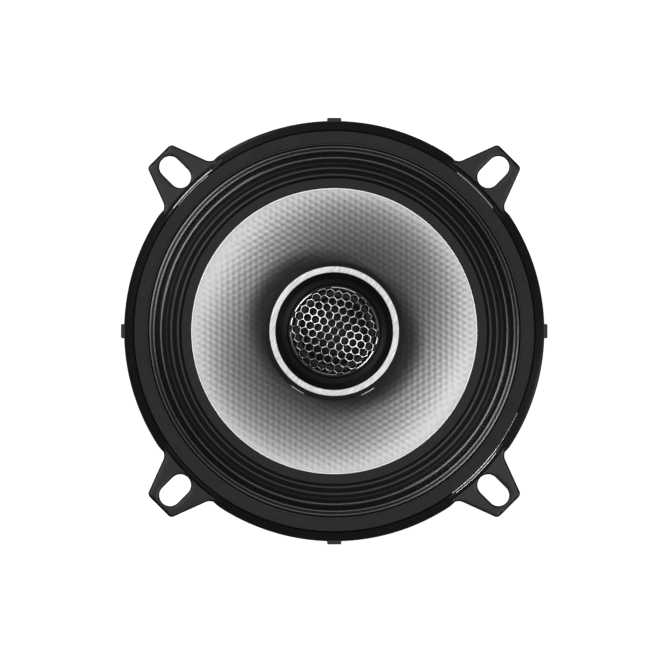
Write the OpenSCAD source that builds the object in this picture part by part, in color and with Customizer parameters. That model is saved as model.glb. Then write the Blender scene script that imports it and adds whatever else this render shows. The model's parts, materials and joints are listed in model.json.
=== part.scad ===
// Two-way coaxial loudspeaker: a cone driver in a pressed steel basket, with a
// dome tweeter on a post through its voice coil. The axis is Z and the sound
// leaves towards +Z. z = 0 is the mounting plane, behind the four slotted tabs.

/* [Mounting] */
// Diameter of the rolled rim
rim_d = 130; // [128:0.5:131]
// Diameter of the circle through the slot centres
slot_pcd = 138.7; // [138:0.1:140]
// Width of each mounting slot
slot_w = 6.6; // [5:0.1:6.8]
// End-to-end length of each mounting slot
slot_len = 11.1; // [9:0.1:11.4]
// Distance from the axis to the flat outer edge of a tab
tab_reach = 76.4; // [76:0.1:79]
// Width of a tab at its outer edge, before its corners are rounded
tab_tip_w = 10.2; // [9:0.1:12]
// Angle at which each side of a tab opens towards the rim
tab_flare = 20.5; // [15:0.5:24]
// Diameter of the barrel that drops into the panel's cut-out
barrel_d = 114; // [112:0.5:115]
// Depth behind the mounting plane
mount_depth = 50.2; // [49:0.1:53]

/* [Basket] */
// Thickness of the pressed sheet
sheet_t = 1.2; // [1:0.1:1.3]
// Height of the flange's front face over the mounting plane
flange_z = 2.6; // [2.5:0.1:3]
// Half the angle that each window between two legs takes up
window_half = 34; // [24:1:36]
// Number of air vents in the wall below the spider
vents = 8; // [4:4:12]

/* [Motor] */
// Diameter of the ferrite ring magnet
magnet_d = 80; // [76:1:80]
// Thickness of the ferrite ring magnet
magnet_t = 14; // [13:0.5:14]
// Diameter of the steel plates on both sides of the magnet
plate_d = 72; // [70:1:74]
// Thickness of the top plate
top_plate_t = 4; // [4:0.5:5]
// Thickness of the back plate
back_plate_t = 5; // [5:0.5:6]
// Diameter of the pole
pole_d = 24.4; // [24:0.1:24.4]

/* [Voice coil] */
// Outer diameter of the voice coil's former
former_d = 25.5; // [25.5:0.1:25.6]
// Wall of the former
former_t = 0.2; // [0.1:0.05:0.2]
// Radial thickness of the winding
winding_t = 0.55; // [0.4:0.05:0.6]
// Length of the winding
winding_len = 7.6; // [6:0.2:8]

/* [Cone] */
// Diameter at which the cone turns into its flat lip
cone_d = 88.4; // [88:0.1:88.6]
// Thickness of the cone
cone_t = 0.7; // [0.5:0.1:0.8]
// Curve of the cone: 1 is straight, and a higher value is flatter at the edge
cone_flare = 1.5; // [1.2:0.1:1.8]

/* [Tweeter] */
// Outer diameter of the tweeter's housing
tweeter_d = 40.4; // [40:0.1:41]
// Diameter of the grille in its throat
grille_d = 28.2; // [27.8:0.1:28.2]
// Height of the grille's crown over its rim
grille_rise = 2.7; // [2.4:0.1:3]
// Distance between the centres of two neighbouring holes in the grille
hole_pitch = 2.55; // [2.4:0.05:3]
// Width of the web between two holes
web_w = 0.42; // [0.35:0.01:0.6]
// Diameter of the dome inside its half-roll edge
dome_d = 20; // [19.8:0.1:20.2]

/* [Terminals] */
// Angle of the terminal board about the axis, from +X
terminal_angle = 45; // [35:5:55]
// Width of the positive blade
positive_w = 4.8; // [4:0.1:5]
// Width of the negative blade
negative_w = 2.8; // [2.4:0.1:3]

/* [Hidden] */
$fn = 96;

e = 0.5; // how far a cutter runs past what it cuts

// Flange and rim
rim_r = rim_d / 2;
barrel_r = barrel_d / 2;
lip_r = rim_r - 2.6;       // where the flange starts to roll over
bend_r = 1;                // mid-line radius of the sheet's bends
nib_w = 4.4;               // locating nibs on the rim, between the tabs
nib_out = 0.75;
nib_t = 1;
seal_r = [58.8, 61.6];     // rear gasket
gasket_r = [57.7, 61.9];   // front gasket
gasket_t = 1.4;

// Motor, stacked from the rear
back_z = -mount_depth;
magnet_z = back_z + back_plate_t;
top_plate_z = magnet_z + magnet_t;
motor_z = top_plate_z + top_plate_t;
pole_r = pole_d / 2;
gap_r = former_d / 2 + 1;
rivet_r = 2;
rivet_pcd = 48;

// Basket bowl
floor_z = motor_z + sheet_t;
ledge_z = floor_z + 6.1;
cup_r = 33.2;
ledge_r = 38.4;
barrel_z = -7.5;

// Voice coil and spider
former_r = former_d / 2;
winding_mid_z = top_plate_z + top_plate_t / 2;
winding_z = winding_mid_z - winding_len / 2;
spider_t = 0.4;
spider_z = ledge_z + spider_t / 2;
spider_r = 37.2;
spider_waves = 5;
spider_amp = 0.9;

// Cone: its lip carries the surround
cone_r = cone_d / 2;
cone_neck_r = former_r + cone_t / 2;
cone_neck_z = -15.5;
cone_edge_z = 1.6 - cone_t / 2;
cone_lip_r = 46.9;
former_top_z = cone_neck_z + 1.5;

// Surround: crests and troughs of its mid-line, from the cone outwards
surround_t = 0.6;
surround_in_z = cone_edge_z + cone_t / 2 + surround_t / 2;
surround_out_z = flange_z + surround_t / 2;
surround_waves = [
    [44.6, surround_in_z], [47.0, surround_in_z], [48.1, 3.1], [49.1, 2.5],
    [50.1, 3.6], [51.7, 2.2], [53.3, 4.3], [54.5, 2.3], [55.5, 3.55], [56.0, 3.15],
    [56.6, 3.55], [57.4, surround_out_z], [61.0, surround_out_z],
];

// Tweeter
tweeter_r = tweeter_d / 2;
throat_r = grille_d / 2;
post_top_z = -7;
cavity_z = post_top_z + 1.2;
tweeter_yoke_z = cavity_z + 1.6;
wall_top_z = 6.4;
shelf_z = 2.9;             // where the faceplate rests in the housing
suspension_z = shelf_z - 0.3;
grille_z = 3.9;
grille_t = 0.5;
dome_r = dome_d / 2;
dome_rise = 2.2;
dome_t = 0.3;
dome_edge_z = suspension_z;
tweeter_pole_r = dome_r - 0.4;
tweeter_gap_r = dome_r + 0.75;
tweeter_motor_z = 2;

// Fastening of the tweeter's post
stud_r = 3;
stud_bore_r = 1.6;
recess_r = 9.5;
recess_z = back_z + 7.5;
washer_t = 0.8;
nut_t = 3;
groove_w = 3.2;
groove_depth = 2;

// Terminal board, in its own frame: x runs outwards and y along the rim
ear_t = sheet_t;
ear_z = ledge_z - ear_t;
board_t = 1.6;
board_x = [40.8, 49.5];
blade_z = ledge_z + board_t;
blade_t = 0.8;
blade_y = 5.5;
blade_x = [41, 55.5];
terminal_rivet_x = 47;
capacitor_r = 4;
capacitor_len = 17;
capacitor_x = 43.5;
capacitor_z = ear_z - capacitor_r - 0.2;
wire_d = 1;
bare_d = 0.8;
joint_y = -12.6;           // where the capacitor's lead meets a tweeter wire
joint_z = capacitor_z - 4.2;
contact_z = blade_z + blade_t;

// ---- Curves ----

function unit(v) = v / norm(v);

// The corner q between p and s, turned into an arc of radius r with n steps.
function corner(p, q, s, r, n) =
    let (
        u = unit(p - q),
        v = unit(s - q),
        half = acos(u * v) / 2,
        centre = q + unit(u + v) * r / sin(half),
        a = q + u * r / tan(half) - centre,
        b = q + v * r / tan(half) - centre,
        w = 180 - 2 * half
    )
    [for (i = [0 : n]) centre + (sin(w * (1 - i / n)) * a + sin(w * i / n) * b) / sin(w)];

// An open path with each inner corner rounded to radius r.
function rounded(path, r, n = 6) = [
    path[0],
    for (i = [1 : len(path) - 2]) each corner(path[i - 1], path[i], path[i + 1], r, n),
    path[len(path) - 1],
];

// Unit normal of a path at point i, to the left of its direction.
function side(path, i) =
    let (d = unit(path[min(i + 1, len(path) - 1)] - path[max(i - 1, 0)]))
    [-d[1], d[0]];

// Outline of a sheet of thickness t whose mid-line is the path.
function thick(path, t) = concat(
    [for (i = [0 : len(path) - 1]) path[i] + side(path, i) * t / 2],
    [for (i = [len(path) - 1 : -1 : 0]) path[i] - side(path, i) * t / 2]
);

// Half-cosine curve through a list of crests and troughs.
function wave(stations, n = 5) = [
    stations[0],
    for (i = [1 : len(stations) - 1], j = [1 : n])
        let (a = stations[i - 1], b = stations[i], f = j / n)
        if (a[1] != b[1] || j == n)
            [a[0] + (b[0] - a[0]) * f, a[1] + (b[1] - a[1]) * (1 - cos(180 * f)) / 2],
];

// ---- Building blocks ----

module lathe(outline) {
    rotate_extrude() polygon(outline);
}

module ring(r_in, r_out, z0, z1) {
    rotate_extrude() translate([r_in, z0]) square([r_out - r_in, z1 - z0]);
}

// A ring whose outer edges, and inner ones if asked, have a chamfer c.
module chamfered_ring(r_in, r_out, z0, z1, c, c_in = 0) {
    lathe(concat(
        [[r_out - c, z0], [r_out, z0 + c], [r_out, z1 - c], [r_out - c, z1]],
        c_in > 0
            ? [[r_in + c_in, z1], [r_in, z1 - c_in], [r_in, z0 + c_in], [r_in + c_in, z0]]
            : [[r_in, z1], [r_in, z0]]
    ));
}

module quarter_turns() {
    for (a = [0 : 90 : 270]) rotate(a) children();
}

module on_terminal_side() {
    rotate(terminal_angle) children();
}

// A rivet's shank, with its head at the top.
module rivet(r, head_r, z0, z1, head_t) {
    translate([0, 0, z0]) cylinder(r = r, h = z1 - z0);
    translate([0, 0, z1 - head_t]) cylinder(r = head_r, h = head_t);
}

// A tube of diameter d along a route in space, as one closed surface.
function carried(t, u0) = [
    for (i = 0, u = unit(u0 - (u0 * t[0]) * t[0]); i < len(t);
         i = i + 1, u = i < len(t) ? unit(u - (u * t[i]) * t[i]) : u) u
];

module wire(route, d, bend, start = [0.31, 0.48, 0.82], sides = 8) {
    path = rounded(route, bend, 4);
    last = len(path) - 1;
    t = [for (i = [0 : last]) unit(path[min(i + 1, last)] - path[max(i - 1, 0)])];
    u = carried(t, start);
    points = [
        for (i = [0 : last], k = [0 : sides - 1])
            let (a = 360 * k / sides)
            path[i] + d / 2 * (cos(a) * u[i] + sin(a) * cross(t[i], u[i])),
    ];
    walls = [
        for (i = [0 : last - 1], k = [0 : sides - 1])
            let (a = i * sides, k2 = (k + 1) % sides)
            [a + k, a + sides + k, a + sides + k2, a + k2],
    ];
    first_cap = [for (k = [0 : sides - 1]) k];
    last_cap = [for (k = [sides - 1 : -1 : 0]) last * sides + k];
    polyhedron(points, concat([first_cap], walls, [last_cap]), convexity = 4);
}

// ---- Basket ----

// Mid-line of the pressed sheet, from the rim's edge in to the motor.
basket_path = [
    [rim_r - sheet_t / 2, 0],
    each corner(
        [rim_r - sheet_t / 2, 0], [rim_r - sheet_t / 2, flange_z - sheet_t / 2],
        [barrel_r, flange_z - sheet_t / 2], flange_z - sheet_t / 2 - 0.1, 8),
    each corner(
        [lip_r, flange_z - sheet_t / 2], [barrel_r - sheet_t / 2, flange_z - sheet_t / 2],
        [barrel_r - sheet_t / 2, barrel_z], bend_r, 6),
    [barrel_r - sheet_t / 2, 0.6], [barrel_r - sheet_t / 2, barrel_z + 1.4],
    each corner(
        [barrel_r - sheet_t / 2, 0], [barrel_r - sheet_t / 2, barrel_z],
        [ledge_r, ledge_z - sheet_t / 2], 2, 6),
    each corner(
        [barrel_r, barrel_z], [ledge_r, ledge_z - sheet_t / 2],
        [cup_r, ledge_z - sheet_t / 2], bend_r, 4),
    each corner(
        [ledge_r, ledge_z - sheet_t / 2], [cup_r, ledge_z - sheet_t / 2],
        [cup_r, floor_z - sheet_t / 2], bend_r, 6),
    each corner(
        [cup_r, ledge_z], [cup_r, floor_z - sheet_t / 2],
        [gap_r, floor_z - sheet_t / 2], bend_r, 6),
    [gap_r + 1.8, floor_z - sheet_t / 2],
];

// Plan of one tab, from inside the flange out to its flat edge.
module tab_plan(r_in) {
    slope = tan(tab_flare);
    tip = tab_tip_w / 2;
    polygon(concat(
        [[r_in, -tip - slope * (tab_reach - r_in)]],
        corner([rim_r, -tip - slope * (tab_reach - rim_r)], [tab_reach, -tip],
            [tab_reach, tip], 1.6, 6),
        corner([tab_reach, -tip], [tab_reach, tip],
            [rim_r, tip + slope * (tab_reach - rim_r)], 1.6, 6),
        [[r_in, tip + slope * (tab_reach - r_in)]]
    ));
}

// Fills the notch between the rim and one side of a tab with a concave fillet.
module tab_root() {
    fillet = 2;
    slope = tan(tab_flare);
    foot_y = tab_tip_w / 2 + slope * (tab_reach - rim_r);
    side_dir = [cos(tab_flare), -sin(tab_flare)];
    // The fillet's centre is one radius off both the tab's side and the rim.
    off = [rim_r, foot_y] + fillet * [sin(tab_flare), cos(tab_flare)];
    along = off * side_dir;
    reach = rim_r + fillet;
    step = -along + sqrt(along * along - off * off + reach * reach);
    centre = off + step * side_dir;
    difference() {
        linear_extrude(sheet_t) polygon([
            [rim_r - 2, foot_y - 2],
            centre * (rim_r - 1) / reach,
            centre,
            centre - (fillet + 1) * [sin(tab_flare), cos(tab_flare)],
        ]);
        translate([centre[0], centre[1], -e]) cylinder(r = fillet, h = sheet_t + 2 * e);
    }
}

module tab() {
    linear_extrude(sheet_t) tab_plan(lip_r - 0.6);
    tab_root();
    mirror([0, 1, 0]) tab_root();
}

// Space above a tab: here the rim steps straight down to the tab's level.
module tab_relief() {
    difference() {
        translate([0, 0, sheet_t]) linear_extrude(flange_z) tab_plan(lip_r - 1);
        translate([0, 0, -e]) cylinder(r = lip_r, h = flange_z + 2 * e);
    }
}

module slot() {
    half = (slot_len - slot_w) / 2;
    translate([slot_pcd / 2, 0, -e]) {
        for (s = [-1, 1]) translate([s * half, 0, 0]) cylinder(d = slot_w, h = sheet_t + 2 * e);
        translate([-half, -slot_w / 2, 0]) cube([2 * half, slot_w, sheet_t + 2 * e]);
    }
}

// One opening between two legs: a sector with round corners.
module window() {
    r0 = ledge_r + 2.1;
    r1 = barrel_r - 2.5;
    c = 3;
    h = barrel_z + 1 - (ledge_z - 0.4);
    inner = window_half - asin(c / (r0 + c));
    outer = window_half - asin(c / (r1 - c));
    translate([0, 0, ledge_z - 0.4]) {
        rotate([0, 0, -window_half]) rotate_extrude(angle = 2 * window_half)
            translate([r0 + c, 0]) square([r1 - r0 - 2 * c, h]);
        rotate([0, 0, -inner]) rotate_extrude(angle = 2 * inner)
            translate([r0, 0]) square([2 * c, h]);
        rotate([0, 0, -outer]) rotate_extrude(angle = 2 * outer)
            translate([r1 - 2 * c, 0]) square([2 * c, h]);
        for (s = [-1, 1]) {
            rotate(s * inner) translate([r0 + c, 0, 0]) cylinder(r = c, h = h);
            rotate(s * outer) translate([r1 - c, 0, 0]) cylinder(r = c, h = h);
        }
    }
}

module vent() {
    translate([cup_r - 3, -4.5, floor_z + 1.6]) cube([6, 9, 2.2]);
}

// Flat ear of the spider's ledge that carries the terminal board.
module terminal_ear() {
    half_w = 11;
    linear_extrude(ear_t) polygon(concat(
        [[cup_r + 1.5, -half_w]],
        corner([cup_r, -half_w], [50, -half_w], [50, half_w], 2, 5),
        corner([50, -half_w], [50, half_w], [cup_r, half_w], 2, 5),
        [[cup_r + 1.5, half_w]]
    ));
}

module basket() {
    color([0.09, 0.09, 0.1]) difference() {
        union() {
            difference() {
                lathe(thick(basket_path, sheet_t));
                quarter_turns() tab_relief();
                quarter_turns() rotate(45) window();
                for (i = [0 : vents - 1]) rotate((i + 0.5) * 360 / vents) vent();
            }
            quarter_turns() tab();
            quarter_turns() rotate(45)
                translate([rim_r - 1.4, -nib_w / 2, 0]) cube([1.4 + nib_out, nib_w, nib_t]);
            on_terminal_side() translate([0, 0, ear_z]) terminal_ear();
        }
        quarter_turns() slot();
        for (i = [0 : 3]) rotate(90 * i) translate([rivet_pcd / 2, 0, motor_z - e])
            cylinder(r = rivet_r, h = sheet_t + 2 * e);
        on_terminal_side() for (s = [-1, 1]) translate([terminal_rivet_x, s * blade_y, ear_z - e])
            cylinder(r = 1.2, h = ear_t + 2 * e);
    }
}

module front_gasket() {
    z0 = flange_z + surround_t;
    z1 = z0 + gasket_t;
    color([0.2, 0.2, 0.21]) lathe(concat(
        [[gasket_r[0], z0], [gasket_r[1], z0]],
        corner([gasket_r[1], z0], [gasket_r[1], z1], [gasket_r[0], z1], 0.6, 5),
        corner([gasket_r[1], z1], [gasket_r[0], z1], [gasket_r[0], z0], 0.3, 3)
    ));
}

module rear_gasket() {
    color([0.12, 0.12, 0.12]) ring(seal_r[0], seal_r[1], 0, flange_z - sheet_t);
}

// ---- Suspension and cone ----

module surround() {
    color([0.14, 0.14, 0.15]) lathe(thick(wave(surround_waves), surround_t));
}

spider_path = concat(
    rounded([
        [former_r + spider_t / 2, spider_z - 1.6], [former_r + spider_t / 2, spider_z],
        [former_r + 2, spider_z],
    ], 0.5, 3),
    [for (i = [1 : 8 * spider_waves])
        let (f = i / (8 * spider_waves), r0 = former_r + 2)
        [r0 + (cup_r - 0.8 - r0) * f, spider_z + spider_amp * sin(360 * spider_waves * f)]],
    [[cup_r - 0.4, spider_z], [spider_r, spider_z]]
);

module spider() {
    color([0.78, 0.66, 0.36]) lathe(thick(spider_path, spider_t));
}

// Mid-line of the cone between its neck and its lip.
function cone_z(f) =
    cone_neck_z + (cone_edge_z - cone_neck_z) * (1 - pow(1 - f, cone_flare));

cone_path = concat(
    [[cone_neck_r, cone_neck_z - 1.5]],
    [for (i = [0 : 24])
        let (f = i / 24) [cone_neck_r + (cone_r - cone_neck_r) * f, cone_z(f)]],
    [[cone_lip_r, cone_edge_z]]
);

module cone() {
    color([0.72, 0.72, 0.73]) lathe(thick(cone_path, cone_t));
}

module voice_coil_former() {
    color([0.75, 0.6, 0.35]) ring(former_r - former_t, former_r, winding_z, former_top_z);
}

module voice_coil_winding() {
    color([0.72, 0.4, 0.2])
        ring(former_r, former_r + winding_t, winding_z, winding_z + winding_len);
}

// Solder pads on the former, between the spider and the cone.
module lead_pads() {
    color("goldenrod") on_terminal_side() for (s = [-1, 1]) rotate(20 * s - 7)
        rotate_extrude(angle = 14)
            translate([former_r, cone_neck_z - 3.2]) square([0.5, 1.5]);
}

// ---- Motor ----

module top_plate() {
    color([0.55, 0.55, 0.56]) difference() {
        chamfered_ring(gap_r, plate_d / 2, top_plate_z, motor_z, 0.6);
        for (i = [0 : 3]) rotate(90 * i) translate([rivet_pcd / 2, 0, top_plate_z - e])
            cylinder(r = rivet_r, h = top_plate_t + 2 * e);
    }
}

module ring_magnet() {
    color([0.2, 0.2, 0.2])
        chamfered_ring(gap_r + 3.25, magnet_d / 2, magnet_z, top_plate_z, 1, 0.6);
}

module yoke() {
    color([0.6, 0.6, 0.61]) difference() {
        union() {
            chamfered_ring(0, plate_d / 2, back_z, magnet_z, 0.8);
            translate([0, 0, magnet_z - e]) cylinder(r = pole_r, h = motor_z - magnet_z + e);
        }
        translate([0, 0, back_z - e]) cylinder(r = stud_r + 0.2, h = mount_depth);
        translate([0, 0, back_z - e]) cylinder(r = recess_r, h = recess_z - back_z + e);
        on_terminal_side() translate([0, -groove_w / 2, back_z - e])
            cube([plate_d, groove_w, groove_depth + e]);
    }
}

module basket_rivets() {
    color([0.6, 0.6, 0.6]) for (i = [0 : 3]) rotate(90 * i) translate([rivet_pcd / 2, 0, 0])
        rivet(rivet_r, 3.2, top_plate_z + 0.2, floor_z + 0.8, 0.8);
}

// ---- Tweeter ----

module tweeter_post() {
    base_r = 9;
    flange_r = 8;
    column_r = 5.5;
    sink = 7;              // how deep the stud is moulded in
    color([0.1, 0.1, 0.1]) lathe(concat(
        [[stud_r, motor_z], [base_r, motor_z], [base_r, motor_z + 1.8]],
        corner([base_r, motor_z + 1.8], [column_r, motor_z + 1.8], [column_r, 0], 2, 5),
        corner([column_r, motor_z], [column_r, post_top_z - 1.6],
            [flange_r, post_top_z - 1.6], 1.5, 5),
        [
            [flange_r, post_top_z - 1.6], [flange_r, post_top_z], [4, post_top_z],
            [4, cavity_z], [stud_bore_r, cavity_z],
            [stud_bore_r, motor_z + sink], [stud_r, motor_z + sink],
        ]
    ));
}

module post_stud() {
    color([0.7, 0.7, 0.72])
        ring(stud_bore_r, stud_r, recess_z - washer_t - nut_t - 0.4, motor_z + 7);
}

module post_washer() {
    color([0.7, 0.7, 0.72]) ring(stud_r + 0.2, 8, recess_z - washer_t, recess_z);
}

module post_nut() {
    flats = 10;
    color([0.7, 0.7, 0.72]) translate([0, 0, recess_z - washer_t - nut_t]) difference() {
        cylinder(d = flats / cos(30), h = nut_t, $fn = 6);
        translate([0, 0, -e]) cylinder(r = stud_r, h = nut_t + 2 * e);
    }
}

module tweeter_housing() {
    skirt_r = tweeter_r + 1.4;
    inner_r = tweeter_r - 2.2;
    step_r = tweeter_r - 1.2;
    boss_r = [11, 12.6];   // ring that carries the tweeter's yoke
    notch_w = 3.4;         // lets the two wires through that ring
    color([0.07, 0.07, 0.07]) difference() {
        union() {
            lathe(concat(
                [[4, cavity_z], [4, post_top_z]],
                corner([4, post_top_z], [13.5, post_top_z], [skirt_r, -4.2], 3, 5),
                [[skirt_r, -4.2], [skirt_r, -3.5]],
                corner([skirt_r, -3.5], [tweeter_r, -2.2], [tweeter_r, wall_top_z], 0.8, 4),
                [
                    [tweeter_r, wall_top_z], [step_r, wall_top_z], [step_r, shelf_z],
                    [inner_r, shelf_z],
                ],
                corner([inner_r, shelf_z], [inner_r, -3.2], [13, cavity_z], 1.5, 4),
                corner([inner_r, -3.2], [13, cavity_z], [4, cavity_z], 2, 4)
            ));
            ring(boss_r[0], boss_r[1], cavity_z - 0.2, tweeter_yoke_z);
        }
        on_terminal_side() translate([boss_r[0] - 1, -notch_w / 2, cavity_z])
            cube([boss_r[1] - boss_r[0] + 1.1, notch_w, tweeter_yoke_z - cavity_z + e]);
    }
}

module tweeter_trim_ring() {
    top_z = wall_top_z + 1.6;
    step_r = tweeter_r - 1.2;
    inner_r = tweeter_r - 2.2;
    color([0.85, 0.85, 0.86]) lathe(concat(
        [[inner_r, shelf_z + 2.5], [step_r, shelf_z + 2.5], [step_r, wall_top_z],
            [tweeter_r, wall_top_z]],
        corner([tweeter_r, wall_top_z], [tweeter_r, top_z], [inner_r, top_z], 0.4, 4),
        corner([tweeter_r, top_z], [inner_r, top_z], [inner_r, wall_top_z], 0.25, 3)
    ));
}

// Moulded flare that leads from the trim ring down to the grille.
module tweeter_faceplate() {
    outer_r = tweeter_r - 1.2;
    color([0.06, 0.06, 0.06]) lathe([
        [outer_r, shelf_z], [outer_r, shelf_z + 2.5], [outer_r - 1, shelf_z + 2.5],
        [outer_r - 1, 6.8], [throat_r + 2.4, 5], [throat_r + 0.6, 4.3],
        [throat_r, 4.1], [throat_r, grille_z - 0.5], [throat_r - 1.1, grille_z - 0.5],
        [throat_r - 1.1, shelf_z],
    ]);
}

// Domed sheet with a hexagonal pattern of holes inside a plain rim.
module tweeter_grille() {
    rise = grille_rise;
    field_r = throat_r - 0.5;
    crown_r = (field_r * field_r + rise * rise) / (2 * rise);
    row = hole_pitch * cos(30);
    reach = ceil(field_r / row);
    hole_r = (hole_pitch - web_w) / 2 / cos(30);
    color([0.7, 0.7, 0.7]) {
        ring(throat_r - 1, throat_r, grille_z - grille_t, grille_z);
        difference() {
            intersection() {
                translate([0, 0, grille_z + rise - crown_r]) difference() {
                    sphere(r = crown_r);
                    sphere(r = crown_r - grille_t);
                }
                translate([0, 0, grille_z - grille_t / 2]) cylinder(r = field_r, h = rise + 1);
            }
            rotate(2) for (j = [-reach : reach], i = [-reach : reach]) {
                x = (i + (j % 2) / 2) * hole_pitch;
                y = j * row;
                if (norm([x, y]) < field_r - hole_r - 0.1) translate([x, y, grille_z - 2])
                    rotate(30) cylinder(r = hole_r, h = rise + 4, $fn = 6);
            }
        }
    }
}

module tweeter_yoke() {
    wall_r = 12.6;
    plate_t = 1.4;
    color([0.6, 0.6, 0.61]) lathe([
        [0, tweeter_yoke_z], [wall_r, tweeter_yoke_z], [wall_r, tweeter_motor_z],
        [tweeter_gap_r, tweeter_motor_z], [tweeter_gap_r, tweeter_yoke_z + plate_t],
        [0, tweeter_yoke_z + plate_t],
    ]);
}

module tweeter_magnet() {
    color([0.75, 0.75, 0.77]) translate([0, 0, tweeter_yoke_z + 1.4])
        cylinder(r = 8.6, h = 2.6);
}

module tweeter_pole_plate() {
    z0 = tweeter_yoke_z + 4;
    color([0.6, 0.6, 0.61]) translate([0, 0, z0])
        cylinder(r = tweeter_pole_r, h = tweeter_motor_z - z0);
}

module tweeter_felt() {
    color([0.3, 0.3, 0.3]) translate([0, 0, tweeter_motor_z]) cylinder(r = 6, h = 0.8);
}

// A thin shell cut from two spheres.
module tweeter_dome() {
    crown_r = (dome_r * dome_r + dome_rise * dome_rise) / (2 * dome_rise);
    color([0.16, 0.16, 0.17]) intersection() {
        translate([0, 0, dome_edge_z + dome_rise - crown_r]) difference() {
            sphere(r = crown_r);
            sphere(r = crown_r - dome_t);
        }
        translate([0, 0, dome_edge_z]) cylinder(r = dome_r, h = dome_rise + 1);
    }
}

module tweeter_coil_former() {
    color([0.75, 0.6, 0.35])
        ring(dome_r - 0.15, dome_r, tweeter_motor_z - 2.2, dome_edge_z);
}

module tweeter_coil_winding() {
    color([0.72, 0.4, 0.2])
        ring(dome_r, dome_r + 0.35, tweeter_motor_z - 2.2, tweeter_motor_z - 0.1);
}

// Half-roll edge between the dome and its landing under the faceplate.
module tweeter_suspension() {
    t = 0.25;
    z = suspension_z + t / 2;
    roll_r = 1.3;
    mid_r = dome_r + 0.1 + roll_r;
    color([0.16, 0.16, 0.17]) lathe(thick(concat(
        [for (i = [0 : 10]) let (a = 180 - 18 * i)
            [mid_r + roll_r * cos(a), z + 0.65 * sin(a)]],
        [[mid_r + roll_r + 1.9, z]]
    ), t));
}

// ---- Terminals and wiring ----

module terminal_board() {
    half_w = 10;
    color([0.35, 0.2, 0.1]) on_terminal_side() difference() {
        translate([board_x[0], -half_w, ledge_z])
            cube([board_x[1] - board_x[0], 2 * half_w, board_t]);
        for (s = [-1, 1]) translate([terminal_rivet_x, s * blade_y, ledge_z - e])
            cylinder(r = 1.2, h = board_t + 2 * e);
    }
}

// A spade blade with a clipped tip and a latch hole.
module blade(w) {
    tip = 1;
    difference() {
        linear_extrude(blade_t) polygon([
            [blade_x[0], -w / 2], [blade_x[1] - tip, -w / 2], [blade_x[1], -w / 2 + tip * 0.6],
            [blade_x[1], w / 2 - tip * 0.6], [blade_x[1] - tip, w / 2], [blade_x[0], w / 2],
        ]);
        translate([terminal_rivet_x, 0, -e]) cylinder(r = 1.2, h = blade_t + 2 * e);
        translate([blade_x[1] - 3, 0, -e]) cylinder(r = 0.6, h = blade_t + 2 * e);
    }
}

module positive_terminal() {
    color("gold") on_terminal_side() translate([0, blade_y, blade_z]) blade(positive_w);
}

module negative_terminal() {
    color("silver") on_terminal_side() translate([0, -blade_y, blade_z]) difference() {
        union() {
            blade(negative_w);
            // a wider foot round the rivet
            translate([terminal_rivet_x, 0, 0]) cylinder(r = 2.4, h = blade_t);
        }
        translate([terminal_rivet_x, 0, -e]) cylinder(r = 1.2, h = blade_t + 2 * e);
    }
}

module terminal_rivets() {
    color([0.7, 0.7, 0.72]) on_terminal_side() for (s = [-1, 1])
        translate([terminal_rivet_x, s * blade_y, 0]) {
            rivet(1.2, 1.9, ear_z, contact_z + 0.5, 0.5);
            translate([0, 0, ear_z - 0.15]) cylinder(r = 1.9, h = 0.15);
        }
}

module crossover_capacitor() {
    color([0.1, 0.1, 0.25]) on_terminal_side()
        translate([capacitor_x, capacitor_len / 2, capacitor_z]) rotate([90, 0, 0])
            rotate_extrude() polygon(concat(
                [[0, 0]],
                corner([0, 0], [capacitor_r, 0], [capacitor_r, 5], 0.8, 4),
                corner([capacitor_r, 0], [capacitor_r, capacitor_len], [0, capacitor_len], 0.8, 4),
                [[0, capacitor_len]]
            ));
}

module capacitor_leads() {
    y = capacitor_len / 2;
    out_y = -joint_y;
    on_blade = contact_z + bare_d / 2 + 0.02;
    color("silver") on_terminal_side() {
        wire([
            [capacitor_x, y, capacitor_z], [capacitor_x, out_y, capacitor_z],
            [capacitor_x, out_y, on_blade], [capacitor_x, blade_y, on_blade],
        ], bare_d, 1.2);
        wire([
            [capacitor_x, -y, capacitor_z], [capacitor_x, joint_y, capacitor_z],
            [capacitor_x, joint_y, joint_z],
        ], bare_d, 1.2);
    }
}

// Two wires: down the motor's side, in the groove, and up through the post.
module tweeter_leads() {
    pitch = 1.4;
    past_y = joint_y - 1.6;
    side_x = magnet_d / 2 + 1.6;
    groove_z = back_z + groove_depth / 2;
    drop_z = top_plate_z - 4;
    cavity_mid_z = (cavity_z + tweeter_yoke_z) / 2;
    rise_x = 13.6;
    on_blade = contact_z + wire_d / 2 + 0.02;
    color([0.15, 0.15, 0.15]) on_terminal_side() {
        for (s = [-1, 1]) {
            y = s * pitch / 2;
            turn_z = drop_z + (s - 1);   // the outer wire turns lower, so they don't cross
            home = [
                [side_x, y, turn_z - 7], [side_x, y, groove_z], [0, y, groove_z],
                [0, y, cavity_mid_z], [rise_x, y, cavity_mid_z], [rise_x, y, 1.8],
            ];
            wire(s > 0
                ? concat([
                    [capacitor_x, joint_y, joint_z], [capacitor_x, joint_y, turn_z],
                ], home)
                : concat([
                    [capacitor_x, -blade_y, on_blade], [capacitor_x, past_y, on_blade],
                    [capacitor_x, past_y, turn_z],
                ], home), wire_d, 0.75);
        }
    }
}

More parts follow.
